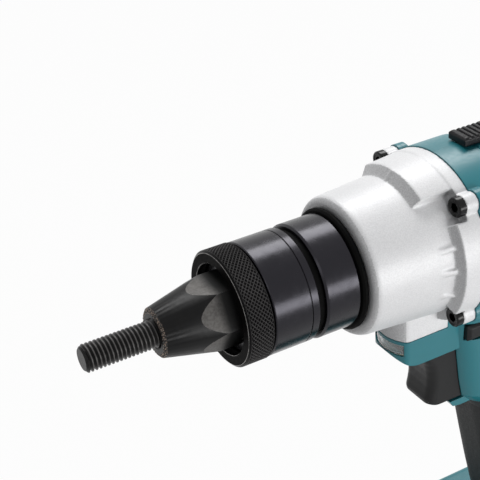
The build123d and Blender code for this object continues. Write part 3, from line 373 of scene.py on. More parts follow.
def turned(name, corners, steps):
    """Closed (x, radius) outline turned about the tool's axis."""
    piece = outline(name, corners)
    take_all()
    bpy.ops.mesh.spin(steps=steps, angle=2 * pi, center=(0, 0, 0), axis=(1, 0, 0))
    done()
    return clean(piece)


def moved(piece, x, y, z):
    edit(piece)
    take_all()
    bpy.ops.transform.translate(value=(x * MM, y * MM, z * MM))
    done()
    return piece


def rolled(piece, degrees):
    """Turns a piece about the tool's axis."""
    only(piece)
    piece.matrix_world = Matrix.Rotation(radians(degrees), 4, "X") @ piece.matrix_world
    return hold_place(piece)


def again(piece, name):
    """Another piece like this one, with its own mesh."""
    only(piece)
    bpy.ops.object.duplicate()
    return named(name)


def carried_over(node, name):
    """Merged copy of a solid of the frame, to be finished as a piece of its own."""
    piece = bpy.data.objects.new(name, frame["nodes"][node].data.copy())
    bpy.context.scene.collection.objects.link(piece)
    piece.data.name = name
    edit(piece, "VERT")
    take_all()
    bpy.ops.mesh.remove_doubles(threshold=MERGE_CARRIED * MM)
    bpy.ops.mesh.delete_loose(use_verts=True, use_edges=True, use_faces=False)
    done()
    return piece


def combined(piece, other, operation):
    """Joins, cuts or keeps what is common, and removes the other piece."""
    apply_modifier(piece, "BOOLEAN", operation=operation, object=other, solver="EXACT")
    bpy.data.objects.remove(other)
    return piece


def rounded_over(piece, size, passes):
    """Re-covers a piece with an even skin and lets its edges settle round."""
    apply_modifier(piece, "REMESH", mode="VOXEL", voxel_size=size * MM, use_smooth_shade=True)
    apply_modifier(piece, "SMOOTH", factor=0.5, iterations=passes)
    return piece


def hexagon(name, flats, front, depth):
    """Six-sided bar along the tool's axis, to cut a socket."""
    free_selection()
    bpy.ops.mesh.primitive_cylinder_add(
        vertices=6, radius=flats / 2 / cos(pi / 6) * MM, depth=(depth + SOCKET_PROUD) * MM,
        location=((front - depth / 2 + SOCKET_PROUD / 2) * MM, 0, 0), rotation=(0, pi / 2, 0),
    )
    return hold_place(named(name))


# Nose

def threaded_mandrel():
    """Working thread cut on a chamfered bar; the shank and head behind it are the frame's own."""
    crest = THREAD_HALF_CREST
    flank = (THREAD_PITCH - 4 * crest) / 2
    corners = [
        (0, THREAD_ROOT), (crest, THREAD_ROOT), (crest + flank, THREAD_RADIUS),
        (3 * crest + flank, THREAD_RADIUS), (3 * crest + 2 * flank, THREAD_ROOT),
        (THREAD_PITCH, THREAD_ROOT),
    ]
    start = THREAD_REAR - THREAD_PITCH
    thread = outline("mandrel_thread", [(start + x, radius) for x, radius in corners], closed=False)
    done()
    apply_modifier(
        thread, "SCREW", axis="X", angle=2 * pi, screw_offset=THREAD_PITCH * MM, iterations=THREAD_TURNS,
        steps=THREAD_STEPS, render_steps=THREAD_STEPS,
    )
    edit(thread, "VERT")
    take_all()
    bpy.ops.mesh.remove_doubles(threshold=THREAD_MERGE * MM)
    take_all()
    bpy.ops.mesh.fill_holes(sides=0)
    take_all()
    bpy.ops.mesh.normals_make_consistent(inside=False)
    done()
    bar = turned("mandrel_bar", [
        (THREAD_REAR, 0), (MANDREL_TIP, 0), (MANDREL_TIP, THREAD_RADIUS - TIP_CHAMFER),
        (MANDREL_TIP - TIP_CHAMFER, THREAD_RADIUS + BAR_MARGIN), (THREAD_REAR, THREAD_RADIUS + BAR_MARGIN),
    ], BAR_STEPS)
    combined(thread, bar, "INTERSECT")
    shank = carried_over("mandrel", "mandrel_shank")
    edit(shank)
    take_all()
    bpy.ops.mesh.bisect(
        plane_co=((THREAD_REAR - SHANK_SETBACK) * MM, 0, 0), plane_no=(1, 0, 0), use_fill=True,
        clear_outer=True,
    )
    done()
    neck_rear, neck_front = THREAD_REAR - NECK_REAR, THREAD_REAR + NECK_FRONT
    neck_radius = THREAD_ROOT - NECK_DROP
    neck = turned("mandrel_neck", [
        (neck_rear, 0), (neck_front, 0), (neck_front, neck_radius), (neck_rear, neck_radius),
    ], NECK_STEPS)
    combined(thread, neck, "UNION")
    combined(thread, shank, "UNION")
    thread.name = thread.data.name = "threaded_mandrel"
    smooth(thread, 24)
    return seat(thread, "mandrel_set", FINISHES["mandrel_steel"], ["mandrel"])


def flat_normals():
    """Directions in which the anvil's six wrench flats look."""
    turns = [radians(FLAT_TURN + 60 * k) for k in range(6)]
    return [Vector((0, cos(turn), sin(turn))) for turn in turns]


def cut_teeth(piece):
    """Sets back every second pair of points on the front rim, so that it bites the nut's flange."""
    edit(piece, "VERT")
    mesh = bmesh.from_edit_mesh(piece.data)
    step = 2 * pi / (POINTS_PER_TOOTH * TEETH)
    for corner in mesh.verts:
        x, y, z = corner.co / MM
        number = round(atan2(z, y) / step) % POINTS_PER_TOOTH
        corner.select_set(x > -TOOTH_SLACK and hypot(y, z) > TOOTH_INNER and number in (0, 1))
    bpy.ops.transform.translate(value=(-TOOTH_DEPTH * MM, 0, 0))
    done()


def conical_anvil():
    """Nose piece: toothed rim, cone with six ground flats, and the shank in the holder."""
    rear_radius = ANVIL_FACE - ANVIL_SLOPE * ANVIL_SHOULDER
    head = turned("conical_anvil", [
        (ANVIL_SHOULDER, ANVIL_ROOM), (ANVIL_ROOM_FRONT, ANVIL_ROOM), (ANVIL_ROOM_FRONT, ANVIL_BORE),
        (-BORE_CHAMFER, ANVIL_BORE), (0, ANVIL_BORE + BORE_CHAMFER), (0, FACE_MIDDLE),
        (0, ANVIL_FACE - RIM_BEVEL),
        (-RIM_BEVEL, ANVIL_FACE + ANVIL_SLOPE * RIM_BEVEL), (ANVIL_SHOULDER, rear_radius),
    ], POINTS_PER_TOOTH * TEETH)
    cut_teeth(head)
    edit(head)
    for normal in flat_normals():
        take_all()
        bpy.ops.mesh.bisect(
            plane_co=normal * FLAT_DISTANCE * MM, plane_no=normal, use_fill=True, clear_outer=True
        )
    done()
    shank = turned("anvil_shank", [
        (ANVIL_REAR, ANVIL_ROOM), (ANVIL_SHOULDER, ANVIL_ROOM), (ANVIL_SHOULDER, ANVIL_SHANK),
        (ANVIL_REAR + SHANK_CHAMFER, ANVIL_SHANK), (ANVIL_REAR, ANVIL_SHANK - SHANK_CHAMFER),
    ], POINTS_PER_TOOTH * TEETH)
    combined(head, shank, "UNION")
    for finish in ("anvil_steel", "ground_flat", "worn_edge", "worn_rim"):
        head.data.materials.append(FINISHES[finish])
    soften(head, WORN_BEVEL, WORN_ANGLE, material=2)
    flats = flat_normals()

    def on_flat(centre, normal):
        level = any(
            normal.dot(flat) > FLAT_LEVEL and centre.dot(flat) > FLAT_DISTANCE - FLAT_SLACK
            for flat in flats
        )
        return level and centre.x > ANVIL_SHOULDER + SHOULDER_SLACK

    def on_rim(centre, normal):
        return centre.x > RIM_REAR and hypot(centre.y, centre.z) > RIM_INNER

    edit(head)
    paint(head, 1, on_flat)
    paint(head, 3, on_rim)
    done()
    smooth(head, 20)
    return seat(head, "anvil_set", None, ["anvil"])


def knurled_ring():
    """Stroke ring with a diamond knurl pressed into its band all round."""
    band_front, band_rear = RING_FRONT - RING_CHAMFER, RING_REAR + RING_CHAMFER
    edge = RING_RADIUS - RING_CHAMFER
    pitch = (band_rear - band_front) / KNURL_ROWS
    band = [(band_front + pitch * row, RING_RADIUS) for row in range(KNURL_ROWS + 1)]
    lip = RING_FRONT - RING_LIP
    ring = turned("knurled_ring", band + [
        (RING_REAR, edge), (RING_REAR, RING_REAR_BORE), (lip, RING_REAR_BORE), (lip, RING_BORE),
        (RING_FRONT - BORE_BREAK, RING_BORE), (RING_FRONT, RING_BORE + BORE_BREAK),
        (RING_FRONT, edge - RIM_DROP), (RING_FRONT - RIM_BREAK, edge),
    ], KNURL_COUNT)

    def on_band(centre, normal):
        outside = hypot(centre.y, centre.z) > RING_RADIUS - BAND_SLACK and abs(normal.x) < BAND_TILT
        return outside and band_rear < centre.x < band_front

    edit(ring)
    pick_faces(ring, on_band)
    bpy.ops.mesh.poke(offset=0.0)
    bpy.ops.mesh.select_mode(type="EDGE")
    pick_edges(ring, lambda a, b: lattice_edge(a, b, band_front, pitch))
    bpy.ops.mesh.dissolve_edges(use_verts=False)
    bpy.ops.mesh.select_mode(type="FACE")
    pick_faces(ring, on_band)
    bpy.ops.mesh.poke(offset=-KNURL_DEPTH * MM, use_relative_offset=False, center_mode="MEDIAN")
    done()
    for finish in ("knurled_steel", "worn_edge", "ring_face"):
        ring.data.materials.append(FINISHES[finish])

    def on_break(centre, normal):
        return centre.x > RING_FRONT - BREAK_REACH and normal.x < FACE_FORWARD

    def on_face(centre, normal):
        return centre.x > RING_FRONT - FACE_SLACK and normal.x > FACE_FORWARD

    edit(ring)
    paint(ring, 1, on_break)
    paint(ring, 2, on_face)
    done()
    smooth(ring, 12)
    return seat(ring, "stroke_ring", None, ["stroke_ring"])


def lattice_edge(a, b, front, pitch):
    """True for an edge between two corners of the knurl's first grid, apart from its two rims."""
    if min(hypot(a.y, a.z), hypot(b.y, b.z)) < RING_RADIUS - CORNER_SLACK:
        return False
    rows = [(corner.x - front) / pitch for corner in (a, b)]
    if min(rows) < -ROW_SLACK or max(rows) > KNURL_ROWS + ROW_SLACK:
        return False
    if any(abs(row - round(row)) > ROW_SLACK for row in rows):
        return False
    on_rim = [round(row) in (0, KNURL_ROWS) for row in rows]
    return not all(on_rim)


# Casting, screws and light

def soft_casting():
    """Gear housing with rounded edges, and painted shade, a darker tone with a coarser grain, on the faces
    that look forward.
    """
    piece = carried_over("gear_housing", "gear_casting")
    rounded_over(piece, CASTING_SKIN, CASTING_PASSES)
    piece.data.materials.clear()
    for finish in ("cast_aluminium", "cast_front_painted_shade"):
        piece.data.materials.append(FINISHES[finish])
    edit(piece)
    # Painted shade: faces that look forward take the darker copy of the casting finish
    paint(piece, 1, lambda centre, normal: normal.x > CASTING_FORWARD)
    done()
    return seat(piece, "tool", None, ["gear_housing"])


def socket_screw(name, head_radius, head_length, shank_radius, shank_length, socket, depth):
    """Screw along the tool's axis with its seat at the origin and a rounded head in front of it."""
    bend = HEAD_ROUND * head_length
    level = head_length - HEAD_CHAMFER
    inner, outer = (share * head_radius for share in HEAD_DISH)
    edge = quarter(head_length - bend, head_radius - bend, bend, HEAD_ROUND_STEPS)
    front = [(-shank_length, 0), (level, 0), (level, inner), (head_length, outer)]
    rear = [
        (HEAD_CHAMFER, head_radius), (0, head_radius - HEAD_CHAMFER), (0, shank_radius),
        (-shank_length, shank_radius),
    ]
    screw = turned(name, front + edge + rear, SCREW_STEPS)
    combined(screw, hexagon("socket", socket, level, depth), "DIFFERENCE")
    smooth(screw, 30)
    return screw


def housing_screw_set():
    """Four equal screws at the housing's corners, each with its socket turned its own way."""
    first = socket_screw(
        "housing_screw", SCREW_HEAD_RADIUS, SCREW_HEAD, SCREW_SHANK_RADIUS, SCREW_SHANK, SCREW_SOCKET,
        SCREW_SOCKET_DEPTH,
    )
    screws = []
    for number, (y, z) in enumerate(SCREW_CORNERS):
        screw = again(first, f"housing_screw_{number}")
        rolled(screw, SCREW_TURN + SCREW_NEXT_TURN * number)
        screws.append(moved(screw, SCREW_SEAT, y * SCREW_SPREAD, z * SCREW_SPREAD))
    bpy.data.objects.remove(first)
    piece = joined("socket_screws", screws)
    return seat(piece, "tool", FINISHES["screw_steel"], ["housing_screws"])


def work_light():
    """Board with two clear-capped diodes in a bright cup, behind the lens."""
    low, high = (corner / MM for corner in map(Vector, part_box("light_board")))
    middle = (low.z + high.z) / 2
    free_selection()
    bpy.ops.mesh.primitive_cube_add(size=1)
    board = named("diode_board")
    board.dimensions = (BOARD_THICKNESS * MM, (high.y - low.y) * MM, (high.z - low.z) * MM)
    hold_place(board)
    moved(board, low.x + BOARD_THICKNESS / 2, 0, middle)
    soften(board, BOARD_BEVEL)
    seat(board, "tool", FINISHES["lamp_cup"], ["light_board"])
    dome = quarter(DIODE_LENGTH - DIODE_ROUND, DIODE_CORE, DIODE_ROUND, DIODE_ROUND_STEPS)
    corners = [(0, 0), (DIODE_LENGTH, 0)] + dome + [(0, DIODE_RADIUS)]
    diodes = []
    for side in (-1, 1):
        diode = turned(f"diode_{side}", corners, DIODE_STEPS)
        diodes.append(moved(diode, low.x + BOARD_THICKNESS, DIODE_SPREAD * side, middle))
    lamps = joined("light_diodes", diodes)
    smooth(lamps, 40)
    seat(lamps, "tool", FINISHES["diode_yellow"])


def soft_controls():
    """Moulded pieces that the hand touches, with their edges rounded over."""
    for node, name, size, passes, finish in CONTROLS:
        piece = carried_over(node, name)
        rounded_over(piece, size, passes)
        seat(piece, node, FINISHES[finish], [node])
    window = carried_over("light_lens", "light_window")
    rounded_over(window, LENS_SKIN, LENS_PASSES)
    seat(window, "tool", FINISHES["lens_clear"], ["light_lens"])


# Finishes

class Finish:
    """A procedural material on Object coordinates."""

    def __init__(self, name, colour, roughness, metallic=0.0, coat=0.0, specular=0.5):
        self.material = bpy.data.materials.new(name)
        self.material.use_nodes = True
        self.tree = self.material.node_tree
        self.shader = self.tree.nodes["Principled BSDF"]
        self.colour = (*colour, 1.0)
        self.shader.inputs["Base Color"].default_value = self.colour
        self.shader.inputs["Roughness"].default_value = roughness
        self.shader.inputs["Metallic"].default_value = metallic
        self.shader.inputs["Coat Weight"].default_value = coat
        self.shader.inputs["Specular IOR Level"].default_value = specular
        self.place = self.node("ShaderNodeTexCoord").outputs["Object"]
        self.colour_out = None
        self.normal_out = None

    def node(self, kind, **settings):
        made = self.tree.nodes.new(kind)
        for key, value in settings.items():
            setattr(made, key, value)
        return made

    def link(self, out, into):
        self.tree.links.new(out, into)

    def stretched(self, scale):
        mapping = self.node("ShaderNodeMapping")
        mapping.inputs["Scale"].default_value = scale
        self.link(self.place, mapping.inputs["Vector"])
        return mapping.outputs["Vector"]

    def noise(self, size, detail=4.0, scale=(1, 1, 1), roughness=0.5):
        texture = self.node("ShaderNodeTexNoise")
        texture.inputs["Scale"].default_value = 1.0 / (size * MM)
        texture.inputs["Detail"].default_value = detail
        texture.inputs["Roughness"].default_value = roughness
        self.link(self.stretched(scale), texture.inputs["Vector"])
        return texture.outputs["Fac"]

    def cells(self, size, scale=(1, 1, 1)):
        texture = self.node("ShaderNodeTexVoronoi")
        texture.inputs["Scale"].default_value = 1.0 / (size * MM)
        self.link(self.stretched(scale), texture.inputs["Vector"])
        return texture.outputs["Distance"]

    def ramp(self, fac, low, high, from_value=0.0, to_value=1.0):
        mapped = self.node("ShaderNodeMapRange")
        mapped.inputs["From Min"].default_value = low
        mapped.inputs["From Max"].default_value = high
        mapped.inputs["To Min"].default_value = from_value
        mapped.inputs["To Max"].default_value = to_value
        self.link(fac, mapped.inputs["Value"])
        return mapped.outputs["Result"]

    def maths(self, operation, a, b=None):
        made = self.node("ShaderNodeMath", operation=operation)
        for value, socket in ((a, made.inputs[0]), (b, made.inputs[1])):
            if value is None:
                continue
            if isinstance(value, (int, float)):
                socket.default_value = value
            else:
                self.link(value, socket)
        return made.outputs[0]

    def across(self):
        """Distance from the tool's axis, in millimetres, and the place split into its parts."""
        split = self.node("ShaderNodeSeparateXYZ")
        self.link(self.place, split.inputs[0])
        y, z = split.outputs["Y"], split.outputs["Z"]
        squares = self.maths("ADD", self.maths("MULTIPLY", y, y), self.maths("MULTIPLY", z, z))
        return self.maths("DIVIDE", self.maths("SQRT", squares), MM), split

    def tint(self, fac, colour):
        """Blend towards another colour where fac is high."""
        mixer = self.node("ShaderNodeMix", data_type="RGBA")
        self.link(fac, mixer.inputs["Factor"])
        if self.colour_out is None:
            mixer.inputs["A"].default_value = self.colour
        else:
            self.link(self.colour_out, mixer.inputs["A"])
        mixer.inputs["B"].default_value = (*colour, 1.0)
        self.colour_out = mixer.outputs["Result"]
        self.link(self.colour_out, self.shader.inputs["Base Color"])
        return self

    def softened(self, radius):
        """Lets the light run round the edges by a small radius."""
        bevel = self.node("ShaderNodeBevel", samples=4)
        bevel.inputs["Radius"].default_value = radius * MM
        self.normal_out = bevel.outputs["Normal"]
        return self

    def roughen(self, fac, low, high, from_value=0.3, to_value=0.7):
        self.link(self.ramp(fac, from_value, to_value, low, high), self.shader.inputs["Roughness"])
        return self

    def bump(self, height, depth, strength=1.0):
        bump = self.node("ShaderNodeBump")
        bump.inputs["Strength"].default_value = strength
        bump.inputs["Distance"].default_value = depth * MM
        self.link(height, bump.inputs["Height"])
        if self.normal_out is not None:
            self.link(self.normal_out, bump.inputs["Normal"])
        self.normal_out = bump.outputs["Normal"]
        self.link(self.normal_out, self.shader.inputs["Normal"])
        return self


def black_anodised():
    f = Finish("anodised_black", (0.0018, 0.0016, 0.0026), 0.24, 0.0, 0.0, 0.32)
    f.shader.inputs["Specular Tint"].default_value = (0.90, 0.88, 1.0, 1.0)
    f.softened(0.3)
    f.tint(f.ramp(f.noise(11.0, 3.0), 0.45, 0.75, 0.0, 0.5), (0.0032, 0.0029, 0.0038))
    f.roughen(f.noise(2.5, 4.0), 0.20, 0.28)
    f.bump(f.noise(1.8, 2.0, (1.0, 0.05, 0.05)), 0.002, 0.25)
    return f.material


def knurl_black():
    f = Finish("knurled_black", (0.0009, 0.0009, 0.0011), 0.26, 0.0, 0.0, 0.06)
    radius, _ = f.across()
    # Crests lighter than the pits: wear, and painted highlight for the glints along the knurl
    f.tint(f.ramp(radius, *KNURL_WEAR_AND_HIGHLIGHT, 0.0, 0.9), (0.085, 0.082, 0.082))
    f.roughen(f.noise(0.6, 4.0), 0.22, 0.34)
    f.bump(f.noise(0.25, 3.0), 0.004, 0.3)
    return f.material


def ring_face():
    f = Finish("ring_face_black", (0.0035, 0.0033, 0.0032), 0.38, 0.0, 0.0, 0.01)
    f.tint(f.ramp(f.noise(3.0, 4.0), 0.45, 0.7, 0.0, 0.6), (0.0065, 0.006, 0.006))
    f.roughen(f.noise(1.2, 4.0), 0.32, 0.45)
    f.bump(f.noise(0.5, 3.0, (0.2, 1.0, 1.0)), 0.003, 0.3)
    return f.material


def mandrel_steel():
    f = Finish("mandrel_dark_steel", (0.0012, 0.0012, 0.0013), 0.32, 0.1, 0.0, 0.18)
    radius, _ = f.across()
    # Crests lighter than the roots: wear, and painted highlight along the thread's crest lines
    f.tint(f.ramp(radius, *CREST_WEAR_AND_HIGHLIGHT, 0.0, 0.9), (0.135, 0.130, 0.128))
    f.tint(f.ramp(f.noise(0.9, 5.0), 0.58, 0.78, 0.0, 0.4), (0.045, 0.038, 0.034))
    f.roughen(f.noise(0.5, 4.0), 0.26, 0.44)
    f.bump(f.noise(0.18, 3.0), 0.006, 0.4)
    return f.material


def anvil_black():
    f = Finish("anvil_black_oxide", (0.0014, 0.0014, 0.0016), 0.24, 0.0, 0.0, 0.15)
    f.tint(f.ramp(f.noise(6.0, 5.0), 0.5, 0.75, 0.0, 0.7), (0.0042, 0.0036, 0.0033))
    f.roughen(f.noise(1.8, 5.0), 0.30, 0.42)
    f.bump(f.noise(0.5, 2.0, (1.0, 0.2, 0.2)), 0.001, 0.3)
    return f.material


def ground_flat():
    f = Finish("anvil_ground_flat", (0.098, 0.094, 0.090), 0.46, 0.15, 0.0, 0.2)
    f.tint(f.ramp(f.noise(0.9, 6.0), 0.42, 0.60, 0.0, 0.8), (0.062, 0.058, 0.054))
    f.tint(f.ramp(f.noise(5.0, 3.0), 0.45, 0.7, 0.0, 0.4), (0.145, 0.137, 0.128))
    _, place = f.across()
    # Painted shade: the flats turn almost black towards the stroke ring, where its shadow falls
    f.tint(f.ramp(place.outputs["X"], *FLAT_PAINTED_SHADE, 1.0, 0.0), (0.006, 0.006, 0.006))
    f.roughen(f.noise(0.5, 4.0), 0.40, 0.56)
    f.bump(f.noise(0.16, 4.0, (0.3, 1.0, 1.0)), 0.004, 0.5)
    return f.material


def worn_edge():
    f = Finish("worn_edge", (0.22, 0.21, 0.205), 0.34, 0.5)
    f.tint(f.ramp(f.noise(1.6, 4.0), 0.45, 0.65, 0.0, 0.9), (0.05, 0.048, 0.046))
    f.roughen(f.noise(0.6, 4.0), 0.28, 0.46)
    f.bump(f.noise(0.3, 3.0), 0.004, 0.4)
    return f.material


def worn_rim():
    f = Finish("anvil_worn_rim", (0.010, 0.009, 0.008), 0.36, 0.3)
    f.tint(f.ramp(f.noise(0.5, 4.0), 0.52, 0.60, 0.0, 1.0), (0.30, 0.22, 0.17))
    f.roughen(f.noise(0.4, 4.0), 0.30, 0.5)
    f.bump(f.noise(0.25, 4.0), 0.02, 0.7)
    return f.material


def cast_aluminium(name, tone, grain):
    """Sand-grained casting; the tone is its brightness and the grain is how far the pits darken it."""
    f = Finish(name, (tone, tone, 1.01 * tone), 0.44, 0.08, 0.0, 0.35)
    sand = f.noise(0.5, 5.0, roughness=0.6)
    f.tint(f.ramp(f.noise(14.0, 4.0), 0.4, 0.7, 0.0, 0.4), (0.9 * tone, 0.9 * tone, 0.91 * tone))
    f.tint(f.ramp(sand, 0.40, 0.62, 0.0, grain), (0.7 * tone, 0.7 * tone, 0.71 * tone))
    f.roughen(sand, 0.34, 0.50)
    f.bump(sand, 0.09, 0.8)
    f.bump(f.noise(4.5, 3.0), 0.06, 0.3)
    return f.material


def socket_black():
    f = Finish("screw_black", (0.0012, 0.0012, 0.0015), 0.16, 0.0, 0.0, 0.22)
    f.roughen(f.noise(0.6, 4.0), 0.16, 0.30)
    f.bump(f.noise(0.3, 3.0), 0.01, 0.5)
    return f.material


def machined_steel():
    f = Finish("machined_steel", (0.42, 0.42, 0.43), 0.32, 0.95)
    rings = f.noise(0.4, 3.0, (1.0, 0.01, 0.01))
    f.tint(f.ramp(f.noise(6.0, 4.0), 0.4, 0.7, 0.0, 0.5), (0.33, 0.33, 0.34))
    f.roughen(rings, 0.24, 0.42)
    f.bump(rings, 0.006, 0.5)
    return f.material


def sintered_steel():
    f = Finish("sintered_steel", (0.22, 0.22, 0.225), 0.5, 0.9)
    f.tint(f.ramp(f.noise(0.5, 5.0), 0.4, 0.7, 0.0, 0.6), (0.15, 0.15, 0.155))
    f.roughen(f.noise(0.6, 4.0), 0.42, 0.6)
    f.bump(f.noise(0.25, 4.0), 0.02, 0.6)
    return f.material


def lamination_steel():
    f = Finish("lamination_steel", (0.30, 0.30, 0.32), 0.42, 0.9)
    sheets = f.noise(0.5, 1.0, (1.0, 0.002, 0.002))
    f.tint(f.ramp(sheets, 0.4, 0.6, 0.0, 0.8), (0.15, 0.15, 0.17))
    f.roughen(sheets, 0.36, 0.5)
    f.bump(sheets, 0.03, 0.6)
    return f.material


def copper_wire():
    f = Finish("copper_wire", (0.55, 0.20, 0.07), 0.34, 0.9, 0.4)
    turns = f.noise(0.55, 1.0, (0.02, 1.0, 1.0))
    f.tint(f.ramp(turns, 0.4, 0.6, 0.0, 0.7), (0.30, 0.09, 0.03))
    f.roughen(turns, 0.28, 0.45)
    f.bump(turns, 0.08, 0.7)
    return f.material


def magnet_nickel():
    f = Finish("magnet_nickel", (0.55, 0.53, 0.50), 0.25, 1.0)
    f.tint(f.ramp(f.noise(2.0, 4.0), 0.4, 0.7, 0.0, 0.5), (0.44, 0.43, 0.41))
    f.roughen(f.noise(0.8, 4.0), 0.2, 0.34)
    f.bump(f.noise(0.4, 3.0), 0.006, 0.4)
    return f.material


def moulded(name, colour, other, roughness, specular=0.42, grain=0.28, depth=0.012, edge=0.5):
    """Moulded plastic with a fine spark-eroded grain."""
    f = Finish(name, colour, roughness, 0.0, 0.0, specular)
    f.softened(edge)
    f.tint(f.ramp(f.noise(18.0, 3.0), 0.4, 0.7, 0.0, 0.5), other)
    f.roughen(f.noise(1.2, 5.0), roughness - 0.06, roughness + 0.08)
    f.bump(f.noise(grain, 3.0), depth, 0.55)
    return f.material


def rubber(name, colour, specular=0.3):
    f = Finish(name, colour, 0.66, 0.0, 0.0, specular)
    f.softened(0.5)
    f.tint(f.ramp(f.noise(7.0, 4.0), 0.4, 0.7, 0.0, 0.5), tuple(0.75 * c for c in colour))
    f.roughen(f.noise(0.8, 4.0), 0.58, 0.76)
    f.bump(f.noise(0.22, 3.0), 0.02, 0.6)
    return f.material


def clear_plastic():
    f = Finish("lens_clear", (0.92, 0.94, 0.94), 0.12, 0.0, 0.0, 0.5)
    f.shader.inputs["Transmission Weight"].default_value = 0.88
    f.shader.inputs["IOR"].default_value = 1.49
    f.roughen(f.noise(0.9, 4.0), 0.06, 0.24)
    f.bump(f.noise(1.6, 2.0, (0.2, 1.0, 0.2)), 0.05, 0.5)
    return f.material


def lamp_cup():
    """White solder mask and bright metal round the diodes."""
    f = Finish("lamp_cup", (0.85, 0.85, 0.84), 0.25, 0.3)
    f.tint(f.ramp(f.cells(2.2), 0.05, 0.2, 1.0, 0.0), (0.55, 0.56, 0.56))
    f.roughen(f.noise(0.9, 4.0), 0.22, 0.4)
    f.bump(f.noise(0.5, 3.0), 0.01, 0.4)
    return f.material


def diode_yellow():
    """Phosphor under clear resin, set bright as painted highlight for the two glints seen through the
    lens.
    """
    f = Finish("diode_phosphor_and_glint", (0.70, 0.60, 0.22), 0.12, 0.0, 0.6)
    f.tint(f.ramp(f.noise(0.8, 3.0), 0.4, 0.7, 0.0, 0.5), (0.78, 0.72, 0.42))
    f.roughen(f.noise(0.7, 3.0), 0.08, 0.2)
    f.bump(f.noise(0.9, 2.0), 0.01, 0.3)
    return f.material


def board_green():
    f = Finish("board_green", (0.015, 0.12, 0.05), 0.35, 0.0, 0.3)
    f.tint(f.ramp(f.cells(2.4, (1, 1, 0.1)), 0.05, 0.16, 1.0, 0.0), (0.05, 0.26, 0.11))
    f.roughen(f.noise(1.5, 4.0), 0.28, 0.45)
    f.bump(f.noise(0.8, 4.0), 0.02, 0.5)
    return f.material


def spring_steel():
    f = Finish("spring_steel", (0.42, 0.41, 0.40), 0.3, 0.95)
    f.tint(f.ramp(f.noise(1.0, 4.0), 0.4, 0.7, 0.0, 0.5), (0.30, 0.29, 0.28))
    f.roughen(f.noise(0.5, 4.0), 0.24, 0.4)
    f.bump(f.noise(0.2, 3.0), 0.006, 0.4)
    return f.material


def contact_brass():
    f = Finish("contact_brass", (0.60, 0.42, 0.16), 0.28, 0.95)
    f.tint(f.ramp(f.noise(1.5, 4.0), 0.4, 0.7, 0.0, 0.5), (0.44, 0.30, 0.11))
    f.roughen(f.noise(0.6, 4.0), 0.22, 0.4)
    f.bump(f.noise(0.3, 3.0), 0.006, 0.4)
    return f.material


def cell_wrap():
    f = Finish("cell_wrap", (0.03, 0.16, 0.30), 0.3, 0.0, 0.3)
    f.tint(f.ramp(f.noise(5.0, 3.0, (0.2, 1.0, 0.2)), 0.4, 0.7, 0.0, 0.5), (0.02, 0.11, 0.22))
    f.roughen(f.noise(0.9, 4.0), 0.24, 0.4)
    f.bump(f.noise(1.0, 4.0), 0.02, 0.4)
    return f.material


FINISHES = {
    "mandrel_steel": mandrel_steel(),
    "anvil_steel": anvil_black(),
    "ground_flat": ground_flat(),
    "worn_edge": worn_edge(),
    "worn_rim": worn_rim(),
    "knurled_steel": knurl_black(),
    "ring_face": ring_face(),
    "black_anodised": black_anodised(),
    "cast_aluminium": cast_aluminium("cast_aluminium", 0.735, 0.35),
    # Darker copy of the casting: painted shade for the faces that look forward
    "cast_front_painted_shade": cast_aluminium("cast_aluminium_painted_shade", 0.58, 0.8),
    "seal_rubber": rubber("seal_rubber", (0.002, 0.002, 0.002), 0.04),
    "screw_steel": socket_black(),
    "machined_steel": machined_steel(),
    "sintered_steel": sintered_steel(),
    "lamination_steel": lamination_steel(),
    "copper_wire": copper_wire(),
    "magnet_nickel": magnet_nickel(),
    "shell_teal": moulded(
        "shell_teal", (0.010, 0.155, 0.186), (0.008, 0.138, 0.166), 0.34, 0.5, 0.6, 0.006, 0.4
    ),
    "grip_rubber": rubber("grip_rubber", (0.024, 0.0235, 0.0235)),
    "control_black": moulded("control_black", (0.011, 0.011, 0.0115), (0.008, 0.008, 0.0085), 0.40, 0.2),
    "slider_black": moulded("slider_black", (0.004, 0.004, 0.005), (0.003, 0.003, 0.004), 0.30, 0.2),
    "lens_clear": clear_plastic(),
    "board_green": board_green(),
    "lamp_cup": lamp_cup(),
    "diode_yellow": diode_yellow(),
    "fan_plastic": moulded("fan_plastic", (0.05, 0.05, 0.055), (0.04, 0.04, 0.045), 0.45),
    "spring_steel": spring_steel(),
    "contact_brass": contact_brass(),
    "cell_wrap": cell_wrap(),
    "pack_black": moulded("pack_black", (0.022, 0.022, 0.023), (0.017, 0.017, 0.018), 0.48),
}


def finish_nodes():
    """Every solid of the frame gets its slot's finish; its shading stays as the frame has it."""
    for part in frame["record"]["subparts"]:
        node = frame["nodes"][part["node"]]
        material = FINISHES[part["material_slot"]]
        if not node.data.materials:
            node.data.materials.append(material)
        for index in range(len(node.data.materials)):
            node.data.materials[index] = material


# Camera, light and floor

def add_camera():
    """Camera turned by its azimuth and elevation and then rolled about its own line of sight."""
    azimuth, elevation = radians(CAMERA_AZIMUTH), radians(CAMERA_ELEVATION)
    back = Vector((sin(azimuth) * cos(elevation), -cos(azimuth) * cos(elevation), sin(elevation)))
    right = Vector((0, 0, 1)).cross(back).normalized()
    up = back.cross(right)
    roll = radians(CAMERA_ROLL)
    across = cos(roll) * right + sin(roll) * up
    upward = -sin(roll) * right + cos(roll) * up
    turn = Matrix((across, upward, back)).transposed().to_4x4()
    bpy.ops.object.camera_add()
    camera = bpy.context.object
    camera.name = "camera"
    camera.matrix_world = Matrix.Translation(Vector(CAMERA_PLACE) * MM) @ turn
    camera.data.lens = CAMERA_LENS
    camera.data.sensor_width = CAMERA_SENSOR
    camera.data.clip_start = CAMERA_NEAR
    bpy.context.scene.camera = camera


